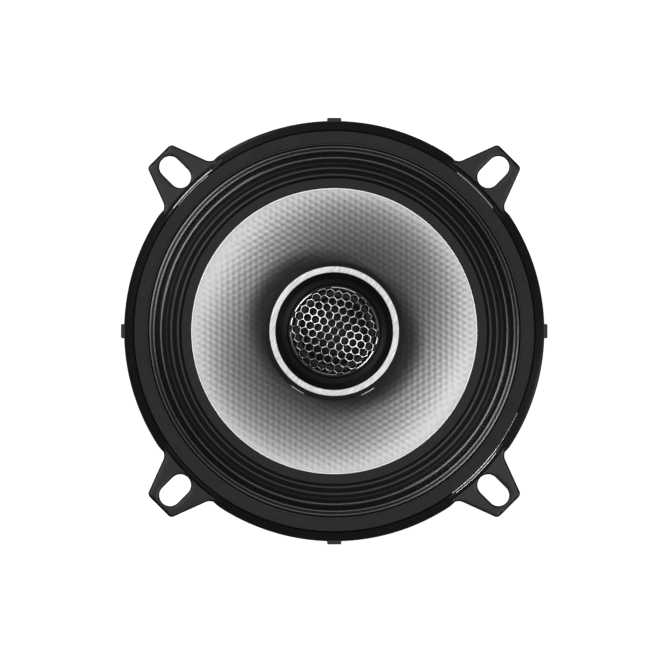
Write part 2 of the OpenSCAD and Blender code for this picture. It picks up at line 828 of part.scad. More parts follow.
// Braided leads from the terminals to the voice coil, slack enough for its travel.
module tinsel_leads() {
    pad_r = former_r + 0.55;
    pad_z = cone_neck_z - 2.45;
    on_blade = contact_z + wire_d / 2 + 0.02;
    color([0.75, 0.6, 0.4]) on_terminal_side() for (s = [-1, 1]) {
        wire([
            [pad_r * cos(20), s * pad_r * sin(20), pad_z],
            [18, s * 6.4, pad_z + 0.4], [24, s * 7.2, pad_z + 3.4],
            [33, s * 6.6, pad_z + 4], [39, s * 5.6, on_blade],
            [42.2, s * blade_y, on_blade],
        ], wire_d, 2.5);
    }
}

basket();
front_gasket();
rear_gasket();
surround();
spider();
cone();
voice_coil_former();
voice_coil_winding();
lead_pads();
top_plate();
ring_magnet();
yoke();
basket_rivets();
tweeter_post();
post_stud();
post_washer();
post_nut();
tweeter_housing();
tweeter_trim_ring();
tweeter_faceplate();
tweeter_grille();
tweeter_yoke();
tweeter_magnet();
tweeter_pole_plate();
tweeter_felt();
tweeter_dome();
tweeter_coil_former();
tweeter_coil_winding();
tweeter_suspension();
terminal_board();
positive_terminal();
negative_terminal();
terminal_rivets();
crossover_capacitor();
capacitor_leads();
tweeter_leads();
tinsel_leads();
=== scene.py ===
"""A coaxial car speaker: its visible surfaces, materials, camera and light.

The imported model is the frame. Lengths in this script are in millimetres until a mesh
is made, and angles are in degrees from +X unless a name says otherwise.
"""

import json
from math import acos, asin, atan2, ceil, cos, hypot, pi, radians, sin, sqrt, tan, tau

import bmesh
import bpy
import numpy as np
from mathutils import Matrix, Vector
from mathutils.geometry import delaunay_2d_cdt

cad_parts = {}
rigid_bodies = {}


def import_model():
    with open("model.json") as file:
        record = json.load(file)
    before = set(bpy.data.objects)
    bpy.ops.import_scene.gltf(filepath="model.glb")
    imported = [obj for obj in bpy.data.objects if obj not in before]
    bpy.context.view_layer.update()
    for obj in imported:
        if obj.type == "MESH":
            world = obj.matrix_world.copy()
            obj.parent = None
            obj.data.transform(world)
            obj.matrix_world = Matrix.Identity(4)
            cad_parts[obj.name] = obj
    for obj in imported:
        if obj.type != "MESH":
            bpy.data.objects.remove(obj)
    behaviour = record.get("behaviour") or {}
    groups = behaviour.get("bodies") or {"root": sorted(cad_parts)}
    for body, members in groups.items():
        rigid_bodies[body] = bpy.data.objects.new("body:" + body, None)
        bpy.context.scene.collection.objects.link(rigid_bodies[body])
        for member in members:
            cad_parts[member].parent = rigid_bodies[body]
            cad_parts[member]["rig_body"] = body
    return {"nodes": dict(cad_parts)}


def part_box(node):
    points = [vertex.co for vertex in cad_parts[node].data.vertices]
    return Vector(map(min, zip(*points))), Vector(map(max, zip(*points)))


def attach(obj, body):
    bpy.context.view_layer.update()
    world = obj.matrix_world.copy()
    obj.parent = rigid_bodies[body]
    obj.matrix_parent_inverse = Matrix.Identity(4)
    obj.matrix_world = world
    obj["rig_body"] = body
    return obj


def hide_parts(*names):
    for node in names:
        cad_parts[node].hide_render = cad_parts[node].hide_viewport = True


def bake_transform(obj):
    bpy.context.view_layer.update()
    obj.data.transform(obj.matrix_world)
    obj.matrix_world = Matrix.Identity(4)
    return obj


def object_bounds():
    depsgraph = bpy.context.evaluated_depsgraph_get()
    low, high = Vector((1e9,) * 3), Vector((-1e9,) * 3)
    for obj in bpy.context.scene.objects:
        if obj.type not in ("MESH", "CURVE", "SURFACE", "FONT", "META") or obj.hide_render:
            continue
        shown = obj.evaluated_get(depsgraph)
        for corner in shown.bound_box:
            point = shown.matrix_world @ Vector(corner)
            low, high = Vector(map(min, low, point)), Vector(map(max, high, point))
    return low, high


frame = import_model()
cad_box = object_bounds()

MM = 0.001
TERMINAL_ANGLE = 45       # the side of the basket that carries the terminals
WEAVE_PITCH = 1.75        # distance between two rows of the cone's weave
WEAVE_TURNS = (-45, 15, 75)


def reach(node):
    """Outer radius, lowest and highest point of a round node."""
    low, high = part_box(node)
    return high.x / MM, low.z / MM, high.z / MM


def placed(name, data):
    """A new object in the scene that holds a mesh, a lamp or a camera."""
    obj = bpy.data.objects.new(name, data)
    bpy.context.scene.collection.objects.link(obj)
    return obj


# ---- Camera, floor and light ----

VIEW_WIDTH = 206.2        # what the picture's width takes in at the rim
VIEW_SHIFT = (0.00115, -0.00575)   # how far off the picture's middle the speaker is, in widths
VIEW_TURN = -45           # puts the tabs on the picture's diagonals
LENS = 200
SENSOR = 36

LAMP_DISTANCE = 0.9       # metres
# Each lamp's azimuth, angle from straight up, width and height in metres, and power in watts.
LAMPS = (
    ("north_west_key", 105, 26, (0.4, 0.36), 2.1),
    ("north_fill", 32, 27, (0.34, 0.34), 0.45),
    ("south_east_key", 282, 26, (0.34, 0.36), 1.95),
    ("north_side_light", 75, 87, (0.1, 0.4), 0.8),
    ("east_side_light", 300, 87, (0.1, 0.4), 0.5),
)


def add_camera():
    """Looks straight down the axis."""
    data = bpy.data.cameras.new("camera")
    data.lens = LENS
    data.sensor_width = SENSOR
    data.shift_x, data.shift_y = VIEW_SHIFT
    data.clip_start = 0.05
    data.clip_end = 20
    camera = placed("camera", data)
    rim_z = reach("basket")[2]
    camera.location = (0, 0, (rim_z + VIEW_WIDTH * LENS / SENSOR) * MM)
    camera.rotation_euler = (0, 0, radians(VIEW_TURN))
    bpy.context.scene.camera = camera


def add_softbox(name, azimuth, zenith, size, power):
    """A rectangular lamp that faces the speaker; the camera doesn't see it."""
    data = bpy.data.lights.new(name, "AREA")
    data.shape = "RECTANGLE"
    data.size, data.size_y = size
    data.energy = power
    lamp = placed(name, data)
    turn, tilt = radians(azimuth), radians(zenith)
    away = Vector((cos(turn) * sin(tilt), sin(turn) * sin(tilt), cos(tilt)))
    lamp.location = away * LAMP_DISTANCE
    lamp.rotation_mode = "QUATERNION"
    lamp.rotation_quaternion = away.to_track_quat("Z", "Y")
    lamp.visible_camera = False


def node(tree, kind, inputs=None, **settings):
    """Adds a shader node; an input is a plain value or another node's output."""
    made = tree.nodes.new("ShaderNode" + kind)
    for key, value in settings.items():
        setattr(made, key, value)
    for key, value in (inputs or {}).items():
        if isinstance(value, bpy.types.NodeSocket):
            tree.links.new(value, made.inputs[key])
        else:
            made.inputs[key].default_value = value
    return made


# Brightness of the room against the height of the direction: -1 is straight down.
ROOM = [(-1.0, 0.1), (-0.6, 0.08), (-0.2, 0.16), (0.05, 0.04), (0.6, 0.02), (0.8, 0.12), (1.0, 0.28)]


def add_world():
    """A white room that darkens towards the horizon in reflections."""
    world = bpy.data.worlds.new("studio")
    bpy.context.scene.world = world
    world.use_nodes = True
    tree = world.node_tree
    tree.nodes.clear()
    where = node(tree, "TexCoord")
    axes = node(tree, "SeparateXYZ", {0: where.outputs["Generated"]})
    height = node(tree, "MapRange", {"Value": axes.outputs["Z"], "From Min": -1.0})
    ramp = node(tree, "ValToRGB", {"Fac": height.outputs["Result"]})
    stops = ramp.color_ramp.elements
    for _ in ROOM[2:]:
        stops.new(0.5)
    for stop, (z, level) in zip(stops, ROOM):
        stop.position = (z + 1) / 2
        stop.color = (level, level, level, 1)
    room = node(tree, "Background", {"Color": ramp.outputs["Color"]})
    white = node(tree, "Background", {"Color": (1, 1, 1, 1), "Strength": 1.05})
    ray = node(tree, "LightPath")
    both = node(tree, "MixShader", {
        0: ray.outputs["Is Camera Ray"], 1: room.outputs[0], 2: white.outputs[0],
    })
    node(tree, "OutputWorld", {"Surface": both.outputs[0]})


def add_floor():
    """A white, softly glowing table top under the magnet."""
    half = 2.0
    z = cad_box[0].z
    mesh = bpy.data.meshes.new("floor")
    mesh.from_pydata([(-half, -half, z), (half, -half, z), (half, half, z), (-half, half, z)],
                     [], [(0, 1, 2, 3)])
    floor = placed("floor", mesh)
    paint = Finish("floor", 0.85, 0.9, Emission_Color=(1, 1, 1, 1), Emission_Strength=0.82)
    mesh.materials.append(paint.material)
    floor.visible_glossy = False


# ---- Materials ----


class Finish:
    """A Principled material and the nodes that give it its detail, in object space."""

    def __init__(self, name, colour, roughness, metallic=0.0, **sockets):
        self.material = bpy.data.materials.new(name)
        self.material.use_nodes = True
        self.tree = self.material.node_tree
        self.shader = self.tree.nodes["Principled BSDF"]
        self.colour = colour if isinstance(colour, tuple) else (colour, colour, colour)
        sockets |= {"Base_Color": (*self.colour, 1), "Roughness": roughness, "Metallic": metallic}
        for key, value in sockets.items():
            self.shader.inputs[key.replace("_", " ")].default_value = value
        self.place = self.add("TexCoord").outputs["Object"]
        self.normal = None

    def add(self, kind, inputs=None, **settings):
        """Adds a node to this material."""
        return node(self.tree, kind, inputs, **settings)

    def maths(self, operation, a, b):
        """The sum, product or another result of two values."""
        return self.add("Math", {0: a, 1: b}, operation=operation).outputs[0]

    def vectors(self, operation, a, b):
        """The product or another result of two vectors: as a vector, and as a number."""
        return self.add("VectorMath", {0: a, 1: b}, operation=operation).outputs

    def stretched(self, turn, stretch):
        """Object coordinates turned about Z, then scaled; a small scale draws a texture out."""
        turned = self.add("VectorRotate", {
            "Vector": self.place, "Angle": radians(-turn),
        }, rotation_type="Z_AXIS")
        return self.vectors("MULTIPLY", turned.outputs[0], stretch)[0]

    def noise(self, size, detail=3.0, place=None):
        """Soft noise from 0 to 1 with blotches about size millimetres across."""
        return self.add("TexNoise", {
            "Vector": place or self.place, "Scale": 0.5 / (size * MM), "Detail": detail,
        }).outputs[0]

    def cells(self, size):
        """Distance to the nearest of many points that are about size millimetres apart."""
        return self.add("TexVoronoi", {
            "Vector": self.place, "Scale": 1 / (size * MM),
        }).outputs["Distance"]

    def waves(self, distance, pitch, phase=0.0):
        """Waves from -1 to 1 along a distance in metres; the phase is a part of a wave."""
        count = self.maths("MULTIPLY", distance, tau / (pitch * MM))
        return self.maths("SINE", self.maths("ADD", count, tau * phase), 0.0)

    def rings(self, pitch):
        """Waves in the distance from the Z axis, as a lathe tool leaves."""
        flat = self.vectors("MULTIPLY", self.place, (1, 1, 0))[0]
        return self.waves(self.vectors("DISTANCE", flat, (0, 0, 0))["Value"], pitch)

    def threads(self, pitch, turn, phase=0.0):
        """Waves that advance in the direction of turn."""
        way = (cos(radians(turn)), sin(radians(turn)), 0)
        return self.waves(self.vectors("DOT_PRODUCT", self.place, way)["Value"], pitch, phase)

    def weave(self, low, high):
        """The cone's triangular weave: low in the dimples and high on the crests."""
        a, b, c = (self.threads(WEAVE_PITCH, turn, phase=0.25) for turn in WEAVE_TURNS)
        total = self.maths("ADD", self.maths("ADD", a, b), c)
        return self.span(total, low, high, -1.5, 3.0)

    def span(self, value, low, high, start=0.0, end=1.0):
        """The value's stretch from start to end, moved to low .. high."""
        return self.add("MapRange", {
            "Value": value, "From Min": start, "From Max": end, "To Min": low, "To Max": high,
        }).outputs[0]

    def tint(self, value):
        """Multiplies the colour by a value."""
        scaled = self.add("VectorMath", {0: self.colour, "Scale": value}, operation="SCALE")
        self.tree.links.new(scaled.outputs[0], self.shader.inputs["Base Color"])
        return self

    def polish(self, value):
        """Roughness from a value."""
        self.tree.links.new(value, self.shader.inputs["Roughness"])
        return self

    def relief(self, value, depth):
        """Raises the surface by the value times depth, in millimetres."""
        inputs = {"Height": value, "Distance": depth * MM}
        if self.normal:
            inputs["Normal"] = self.normal
        self.normal = self.add("Bump", inputs).outputs[0]
        self.tree.links.new(self.normal, self.shader.inputs["Normal"])
        return self

    def mottled(self, size, low, high):
        """Multiplies the colour by low .. high, in blotches about size millimetres across."""
        return self.tint(self.span(self.noise(size), low, high))

    def wear_and_glint(self, size, low, high):
        """Roughness from low to high, in blotches about size millimetres across."""
        return self.polish(self.span(self.noise(size), low, high))

    def grain(self, size, depth, detail=2):
        """Raises the surface in grains about size millimetres across."""
        return self.relief(self.noise(size, detail), depth)


def powder_coat():
    """Black satin powder coat with its orange peel."""
    f = Finish("black_powder_coat", 0.007, 0.4, Specular_IOR_Level=0.45)
    return f.mottled(9, 0.8, 1.2).wear_and_glint(3, 0.36, 0.45).grain(0.55, 0.012).grain(0.12, 0.004).material


def butyl(name, roughness, **sockets):
    """Rubber with a faint bloom and mould texture."""
    f = Finish(name, 0.01, roughness, **sockets)
    f.mottled(12, 0.8, 1.25).wear_and_glint(2.5, roughness - 0.04, roughness + 0.05)
    return f.grain(0.16, 0.004).material


def foam(name, level):
    """Closed-cell foam with a skin of small pores."""
    f = Finish(name, level, 0.8, Specular_IOR_Level=0.35)
    f.mottled(1.4, 0.8, 1.2).wear_and_glint(5, 0.68, 0.9)
    return f.relief(f.cells(0.35), 0.05).grain(2.5, 0.03, 3).material


def shadow_line_sheet():
    """Near-black matt sheet under the gasket; its edge past the foam is a painted shadow line."""
    f = Finish("painted_shadow_film", 0.003, 0.8, Specular_IOR_Level=0.1)
    return f.mottled(1.4, 0.8, 1.2).grain(0.3, 0.01, 3).material


def silver_composite():
    """Metal-coated woven composite; its weave is in the mesh, its fibres are here."""
    f = Finish("silver_composite", (0.64, 0.64, 0.65), 0.5, 1.0)
    fibre = f.noise(0.16, 2)
    f.tint(f.maths("MULTIPLY", f.span(f.noise(7), 0.96, 1.04), f.weave(1.0, 0.95)))
    f.polish(f.span(fibre, 0.46, 0.54))
    return f.relief(fibre, 0.006).material


def machined_aluminium():
    """Bright aluminium with straight polishing marks."""
    f = Finish("machined_aluminium", (0.97, 0.97, 0.98), 0.4, 0.6)
    marks = f.noise(0.22, 3, f.stretched(13, (0.12, 1, 1)))
    f.tint(f.span(marks, 0.72, 1.1, 0.3, 0.7)).wear_and_glint(1.2, 0.36, 0.45)
    return f.relief(marks, 0.012).material


def black_plastic(name, level, roughness, depth):
    """Moulded black plastic with a spark-eroded texture."""
    f = Finish(name, level, roughness, Specular_IOR_Level=0.25)
    return f.mottled(6, 0.85, 1.15).wear_and_glint(2, roughness - 0.05, roughness + 0.07).grain(0.2, depth).material


def black_nickel():
    """Dark plated mesh with bright, slightly uneven bars."""
    f = Finish("black_nickel", (0.5, 0.5, 0.505), 0.16, 1.0)
    return f.mottled(0.9, 0.85, 1.15).wear_and_glint(0.5, 0.12, 0.2).grain(0.25, 0.006).material


def silk(name):
    """Doped silk: a fine weave under a matt black coat."""
    f = Finish(name, 0.006, 0.5, Specular_IOR_Level=0.3)
    weave = f.maths("ADD", f.threads(0.22, 0), f.threads(0.22, 90))
    return f.mottled(3, 0.8, 1.2).relief(weave, 0.004).grain(0.8, 0.01, 3).material


def spider_cloth():
    """Coarse cotton weave, stiffened with amber resin."""
    f = Finish("spider_cloth", (0.42, 0.29, 0.11), 0.75)
    weave = f.maths("MULTIPLY", f.threads(0.42, 20), f.threads(0.42, 110))
    f.tint(f.maths("MULTIPLY", f.span(weave, 0.75, 1.15, -1.0), f.span(f.noise(5), 0.85, 1.15)))
    return f.wear_and_glint(1.5, 0.6, 0.85).relief(weave, 0.03).material


def ferrite():
    """Ground ferrite: dark, close-grained, with a few lighter chips."""
    f = Finish("ferrite", 0.035, 0.55, 0.0, Specular_IOR_Level=0.6)
    chips = f.span(f.cells(3.2), 1.0, 0.0, 0.0, 0.12)
    f.tint(f.maths("ADD", f.span(f.noise(1.2), 0.7, 1.25), chips))
    return f.wear_and_glint(0.8, 0.42, 0.66).grain(0.3, 0.02, 4).material


def zinc_steel(name, turning):
    """Zinc-plated steel with turning marks."""
    f = Finish(name, (0.55, 0.56, 0.58), 0.32, 1.0)
    f.mottled(8, 0.82, 1.08).wear_and_glint(2, 0.24, 0.42)
    return f.relief(f.rings(turning), 0.0015).grain(0.5, 0.004, 3).material


def copper_winding():
    """Enamelled wire, wound turn beside turn."""
    f = Finish("enamelled_copper", (0.6, 0.2, 0.07), 0.28, 0.9, Coat_Weight=0.4, Coat_Roughness=0.15)
    return f.mottled(1.2, 0.8, 1.15).wear_and_glint(0.6, 0.22, 0.36).material


def amber_film():
    """Polyimide film with faint streaks of adhesive."""
    f = Finish("polyimide_film", (0.34, 0.15, 0.02), 0.25, Coat_Weight=0.3)
    return f.mottled(2, 0.75, 1.25).wear_and_glint(0.9, 0.18, 0.34).grain(0.6, 0.005, 3).material


def phenolic_board():
    """Brown laminated paper board with fibres."""
    f = Finish("phenolic_board", (0.13, 0.055, 0.02), 0.5)
    fibres = f.noise(0.5, 4, f.stretched(TERMINAL_ANGLE, (0.25, 1, 1)))
    f.tint(f.span(fibres, 0.6, 1.4, 0.3, 0.7)).wear_and_glint(1.5, 0.42, 0.6)
    return f.relief(fibres, 0.01).material


def plated(name, colour, roughness):
    """Thin bright plating on stamped metal."""
    f = Finish(name, colour, roughness, 1.0)
    marks = f.noise(0.25, 3, f.stretched(TERMINAL_ANGLE, (0.1, 1, 1)))
    f.mottled(3, 0.85, 1.1).polish(f.span(marks, roughness - 0.07, roughness + 0.1))
    return f.relief(marks, 0.004).material


def shrink_sleeve():
    """Dark blue heat-shrink film over the capacitor."""
    f = Finish("shrink_sleeve", (0.01, 0.014, 0.04), 0.22, Coat_Weight=0.5, Coat_Roughness=0.12)
    return f.mottled(4, 0.85, 1.15).wear_and_glint(1.5, 0.16, 0.3).grain(2.2, 0.03, 3).material


def pvc():
    """Black wire insulation."""
    f = Finish("pvc_insulation", 0.012, 0.35)
    return f.mottled(2, 0.8, 1.2).wear_and_glint(0.8, 0.28, 0.45).material


def tinsel_braid():
    """Tinsel strands over a cotton core."""
    f = Finish("tinsel_braid", (0.62, 0.38, 0.16), 0.42, 0.75)
    return f.mottled(0.4, 0.6, 1.2).wear_and_glint(0.3, 0.3, 0.55).material


def felt():
    """Grey damping felt."""
    f = Finish("felt", 0.05, 0.95, Sheen_Weight=0.3)
    return f.mottled(0.3, 0.6, 1.4).grain(0.12, 0.05, 4).material


# ---- Curves ----


def corner(p, q, s, radius, steps):
    """The corner q between p and s, turned into an arc."""
    p, q, s = (np.array(v, float) for v in (p, q, s))
    u = (p - q) / np.linalg.norm(p - q)
    v = (s - q) / np.linalg.norm(s - q)
    half = acos(np.clip(u @ v, -1, 1)) / 2
    centre = q + (u + v) / np.linalg.norm(u + v) * radius / sin(half)
    a = q + u * radius / tan(half) - centre
    b = q + v * radius / tan(half) - centre
    sweep = pi - 2 * half
    return [centre + (sin(sweep * (1 - i / steps)) * a + sin(sweep * i / steps) * b)
            / sin(sweep) for i in range(steps + 1)]


def rounded(path, radius, steps=6):
    """An open path with each inner corner rounded."""
    points = [np.array(path[0], float)]
    for p, q, s in zip(path, path[1:], path[2:]):
        points += corner(p, q, s, radius, steps)
    return points + [np.array(path[-1], float)]


def profile(*stops):
    """A path through some points; one that has a radius and a number of steps is rounded."""
    points = []
    for i, stop in enumerate(stops):
        if len(stop) == 2:
            points.append(stop)
        else:
            points += corner(stops[i - 1][:2], stop[:2], stops[(i + 1) % len(stops)][:2], *stop[2:])
    return points


def softened(outline, radius, steps=4):
    """A closed outline with each corner rounded."""
    return profile(*[(*point, radius, steps) for point in outline])


def box_outline(low, high):
    """The four corners of a rectangle, from its lowest and its highest."""
    return np.array([low, (high[0], low[1]), high, (low[0], high[1])])


def level_arc(radius, z, start, end, count):
    """Points on a level arc about Z, between two angles in degrees."""
    angles = np.radians(np.linspace(start, end, count))
    return [(radius * cos(a), radius * sin(a), z) for a in angles]


def spun(points, degrees):
    """Points turned about Z."""
    points = np.array(points)
    c, s = cos(radians(degrees)), sin(radians(degrees))
    return np.column_stack([points[:, :2] @ np.array([[c, s], [-s, c]]), points[:, 2:]])


def wave(stations, steps):
    """Half-cosine curve through a list of crests and troughs."""
    points = [np.array(stations[0], float)]
    for a, b in zip(stations, stations[1:]):
        for j in range(1, steps + 1):
            f = j / steps
            rise = (1 - cos(pi * f)) / 2
            points.append(np.array([a[0] + (b[0] - a[0]) * f, a[1] + (b[1] - a[1]) * rise]))
    return points


def directions(path):
    """Unit direction of a path at each of its points."""
    along = np.gradient(np.array(path), axis=0)
    return along / np.linalg.norm(along, axis=1)[:, None]


def sides(path):
    """Unit normals of a plane path, to the left of its direction."""
    along = directions(path)
    return np.stack([-along[:, 1], along[:, 0]], axis=1)


def sheet_outline(path, thickness):
    """Closed outline of a bent sheet with round edges, from its middle line."""
    path = np.array(path)
    normal = sides(path)
    half = thickness / 2
    ends = []
    for point, n in ((path[-1], normal[-1]), (path[0], -normal[0])):
        out = np.array([n[1], -n[0]])
        ends.append([point + half * (cos(a) * n + sin(a) * out)
                     for a in np.radians([36, 72, 108, 144])])
    return [*(path + normal * half), *ends[0], *(path - normal * half)[::-1], *ends[1]]


# ---- Meshes ----


def finished(name, points, faces, sharp=35):
    """An object from points in millimetres, smooth except across edges sharper than the angle."""
    mesh = bpy.data.meshes.new(name)
    mesh.from_pydata((np.array(points) * MM).tolist(), [], faces)
    work = bmesh.new()
    work.from_mesh(mesh)
    bmesh.ops.remove_doubles(work, verts=work.verts, dist=1e-7)
    bmesh.ops.recalc_face_normals(work, faces=work.faces)
    work.to_mesh(mesh)
    work.free()
    mesh.shade_smooth()
    mesh.set_sharp_from_angle(angle=radians(sharp))
    return placed(name, mesh)


def grid_faces(rows, columns, close_rows=True):
    """Faces over a grid of vertices whose columns, and maybe rows, close on themselves."""
    index = np.arange(rows * columns).reshape(rows, columns)
    right = np.roll(index, -1, axis=1)
    faces = np.stack([index, right, np.roll(right, -1, axis=0), np.roll(index, -1, axis=0)], axis=-1)
    return (faces if close_rows else faces[:-1]).reshape(-1, 4)


def from_grid(name, points, sharp=35):
    """A closed object over a grid of points [row, column, xyz] in millimetres."""
    return finished(name, points.reshape(-1, 3), grid_faces(*points.shape[:2]).tolist(), sharp)


def turned(outline, segments):
    """Grid of points of an outline of (radius, height) points turned about Z."""
    outline = np.array(outline)
    angle = np.arange(segments) * tau / segments
    radius = outline[:, :1]
    height = np.repeat(outline[:, 1:], segments, axis=1)
    return np.stack([radius * np.cos(angle), radius * np.sin(angle), height], axis=-1)


def lathe(name, outline, segments=256, sharp=35):
    """A closed outline turned about Z."""
    return from_grid(name, turned(outline, segments), sharp)


def tube(path, radius, sides_count):
    """Vertices and faces of a round rod along a path, closed at its ends."""
    path = np.array(path)
    along = directions(path)
    across = np.cross(along[0], [0.31, 0.48, 0.82])   # any direction that no path starts in
    angle = np.arange(sides_count) * tau / sides_count
    rings = []
    for point, t in zip(path, along):
        across = across - (across @ t) * t
        across /= np.linalg.norm(across)
        other = np.cross(t, across)
        ring = np.cos(angle)[:, None] * across + np.sin(angle)[:, None] * other
        rings.append(point + radius * ring)
    faces = grid_faces(len(path), sides_count, close_rows=False).tolist()
    last = (len(path) - 1) * sides_count
    faces += [list(range(sides_count)), list(range(last, last + sides_count))]
    return np.concatenate(rings), faces


def rods(name, paths, radius, sides_count=12):
    """One object made of round rods along several paths."""
    points, faces = [], []
    for path in paths:
        first = sum(len(p) for p in points)
        more, ring_faces = tube(path, radius, sides_count)
        points.append(more)
        faces += [[first + i for i in face] for face in ring_faces]
    return finished(name, np.concatenate(points), faces, 50)


def lengths(path):
    """Distance along a path from its start to each of its points."""
    return np.concatenate([[0], np.cumsum(np.linalg.norm(np.diff(path, axis=0), axis=1))])


def fine(path, step):
    """The same path with points about step millimetres apart."""
    path = np.array(path)
    length = lengths(path)
    marks = np.linspace(0, length[-1], max(2, round(length[-1] / step)) + 1)
    return np.stack([np.interp(marks, length, path[:, i]) for i in range(3)], axis=1)


# ---- Joining pieces to the frame ----


def stand_in(obj, name, material):
    """The object is shown in place of the CAD node of that name."""
    obj.data.materials.append(material)
    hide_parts(name)
    return obj


def fixed(obj, name, material):
    """A stand-in that moves with its node's own body."""
    stand_in(obj, name, material)
    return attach(obj, frame["nodes"][name]["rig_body"])


def flexing(obj, name, material):
    """A stand-in whose placement is baked into its mesh."""
    stand_in(obj, name, material)
    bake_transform(obj)
    return obj


def zoned(obj, borders, materials):
    """Gives the rings of faces beyond each border radius the next of some more materials."""
    for material in materials:
        obj.data.materials.append(material)
    for face in obj.data.polygons:
        face.material_index = int(np.searchsorted(borders, face.center.xy.length / MM))


# ---- The cone and its suspension ----

CONE_R = 44.2             # where the cone turns into its flat lip
CONE_T = 0.7
NECK_R = 13.1
NECK_Z = -15.5
EDGE_Z = 1.25
CONE_FLARE = 1.5          # 1 would be a straight cone
WEAVE_RELIEF = 0.055


def weave_height(x, y):
    """Three crossed waves whose crests meet on a triangular grid, from -0.5 to 1."""
    k = tau / WEAVE_PITCH
    return sum(np.cos(k * (x * cos(a) + y * sin(a))) for a in np.radians(WEAVE_TURNS)) / 3


def make_cone():
    """Flared shell with the weave pressed into its front."""
    lip_r = reach("cone")[0]
    rows_front, rows_back, segments = 96, 12, 840

    def middle(rows):
        """The shell's middle line from the neck to the lip."""
        f = np.linspace(0, 1, rows)
        flare = np.stack([NECK_R + (CONE_R - NECK_R) * f,
                          NECK_Z + (EDGE_Z - NECK_Z) * (1 - (1 - f) ** CONE_FLARE)], axis=1)
        lip = [[CONE_R + (lip_r - CONE_R) * g, EDGE_Z] for g in (0.3, 0.65, 1.0)]
        return np.concatenate([[[NECK_R, NECK_Z - 1.5], [NECK_R, NECK_Z - 0.6]], flare, lip])

    front, back = middle(rows_front), middle(rows_back)[::-1]
    outline = np.concatenate([front + sides(front) * CONE_T / 2, back + sides(back) * CONE_T / 2])
    points = turned(outline, segments)
    normal = np.zeros((len(outline), 2))
    normal[:len(front)] = sides(front)
    angle = np.arange(segments) * tau / segments
    radius = np.linalg.norm(points[..., :2], axis=-1)
    depth = WEAVE_RELIEF * weave_height(points[..., 0], points[..., 1])
    # The weave fades out towards the neck and the lip.
    depth *= np.clip((radius - NECK_R - 1) / 2, 0, 1)
    depth *= np.clip((CONE_R + 0.2 - radius) / 0.5, 0, 1)
    points[..., 0] += depth * normal[:, :1] * np.cos(angle)
    points[..., 1] += depth * normal[:, :1] * np.sin(angle)
    points[..., 2] += depth * normal[:, 1:]
    fixed(from_grid("cone_shell", points), "cone", silver_composite())
    # The bead at the cone's edge is real, but its near-white metal, lighter than the cone's silver, is a
    # painted highlight.
    bead = softened(box_outline((CONE_R - 0.6, EDGE_Z + 0.1), (CONE_R - 0.15, EDGE_Z + 0.65)), 0.08)
    fixed(lathe("cone_bead", bead, 480, 50), "cone", plated("cone_edge_highlight", (0.95, 0.95, 0.95), 0.48))


SURROUND_T = 0.6
SURROUND_IN_Z = 1.9
SURROUND_OUT_Z = 2.9
# Crests and troughs of the surround's middle line, from the cone outwards.
SURROUND_WAVES = [
    (44.4, SURROUND_IN_Z), (47.0, SURROUND_IN_Z), (48.1, 3.1), (49.1, 2.5), (50.1, 3.6),
    (51.7, 2.2), (53.3, 4.3), (54.5, 2.3), (55.5, 3.55), (56.0, 3.15), (56.6, 3.55),
    (57.4, SURROUND_OUT_Z), (61.0, SURROUND_OUT_Z),
]


def make_surround():
    """Rubber edge with three rolls and two fine ridges."""
    outline = sheet_outline(wave(SURROUND_WAVES, 9), SURROUND_T)
    piece = lathe("surround_rolls", outline, 300, 60)
    matt = butyl("surround_rubber", 0.44, Specular_IOR_Level=0.3)
    satin = butyl("surround_inner_rolls", 0.44, Specular_IOR_Level=0.6)
    wet = butyl("surround_outer_rolls", 0.25, Specular_IOR_Level=1.0, Coat_Weight=1.0, Coat_Roughness=0.2)
    flexing(piece, "surround", matt)
    zoned(piece, (46.9, 51.7), (satin, wet))


def make_spider():
    """Corrugated cloth ring with a collar on the voice coil."""
    former_r = reach("voice_coil_former")[0]
    outer_r = reach("spider")[0]
    z, t, waves, amplitude, flat_r = -19.7, 0.4, 5, 0.9, 32.4
    start = former_r + 2
    f = np.linspace(0, 1, 24 * waves + 1)[1:]
    rolls = np.stack([start + (flat_r - start) * f, z + amplitude * np.sin(tau * waves * f)], axis=1)
    collar = rounded([(former_r + t / 2, z - 1.6), (former_r + t / 2, z), (start, z)], 0.5, 4)
    path = [*collar, *rolls, np.array([flat_r + 0.4, z]), np.array([outer_r, z])]
    piece = lathe("spider_rolls", sheet_outline(path, t), 240, 60)
    flexing(piece, "spider", spider_cloth())


def make_voice_coil():
    """Enamelled turns side by side on the former."""
    outer_r, low, high = reach("voice_coil_winding")
    former_r = reach("voice_coil_former")[0]
    wire = 0.28
    turns = round((high - low) / wire)
    wall = []
    for i in range(turns):
        middle = low + (i + 0.5) * (high - low) / turns
        wall += [[outer_r - wire / 2 + wire / 2 * sin(a), middle - wire / 2 * cos(a)]
                 for a in np.radians([15, 50, 90, 130, 165])]
    outline = [[former_r, low], *wall, [former_r, high]]
    fixed(lathe("winding_turns", outline, 128, 80), "voice_coil_winding", copper_winding())


# ---- Tweeter ----


RING_INSET = 0.35         # how far the housing's black edge reaches in over the trim ring's side


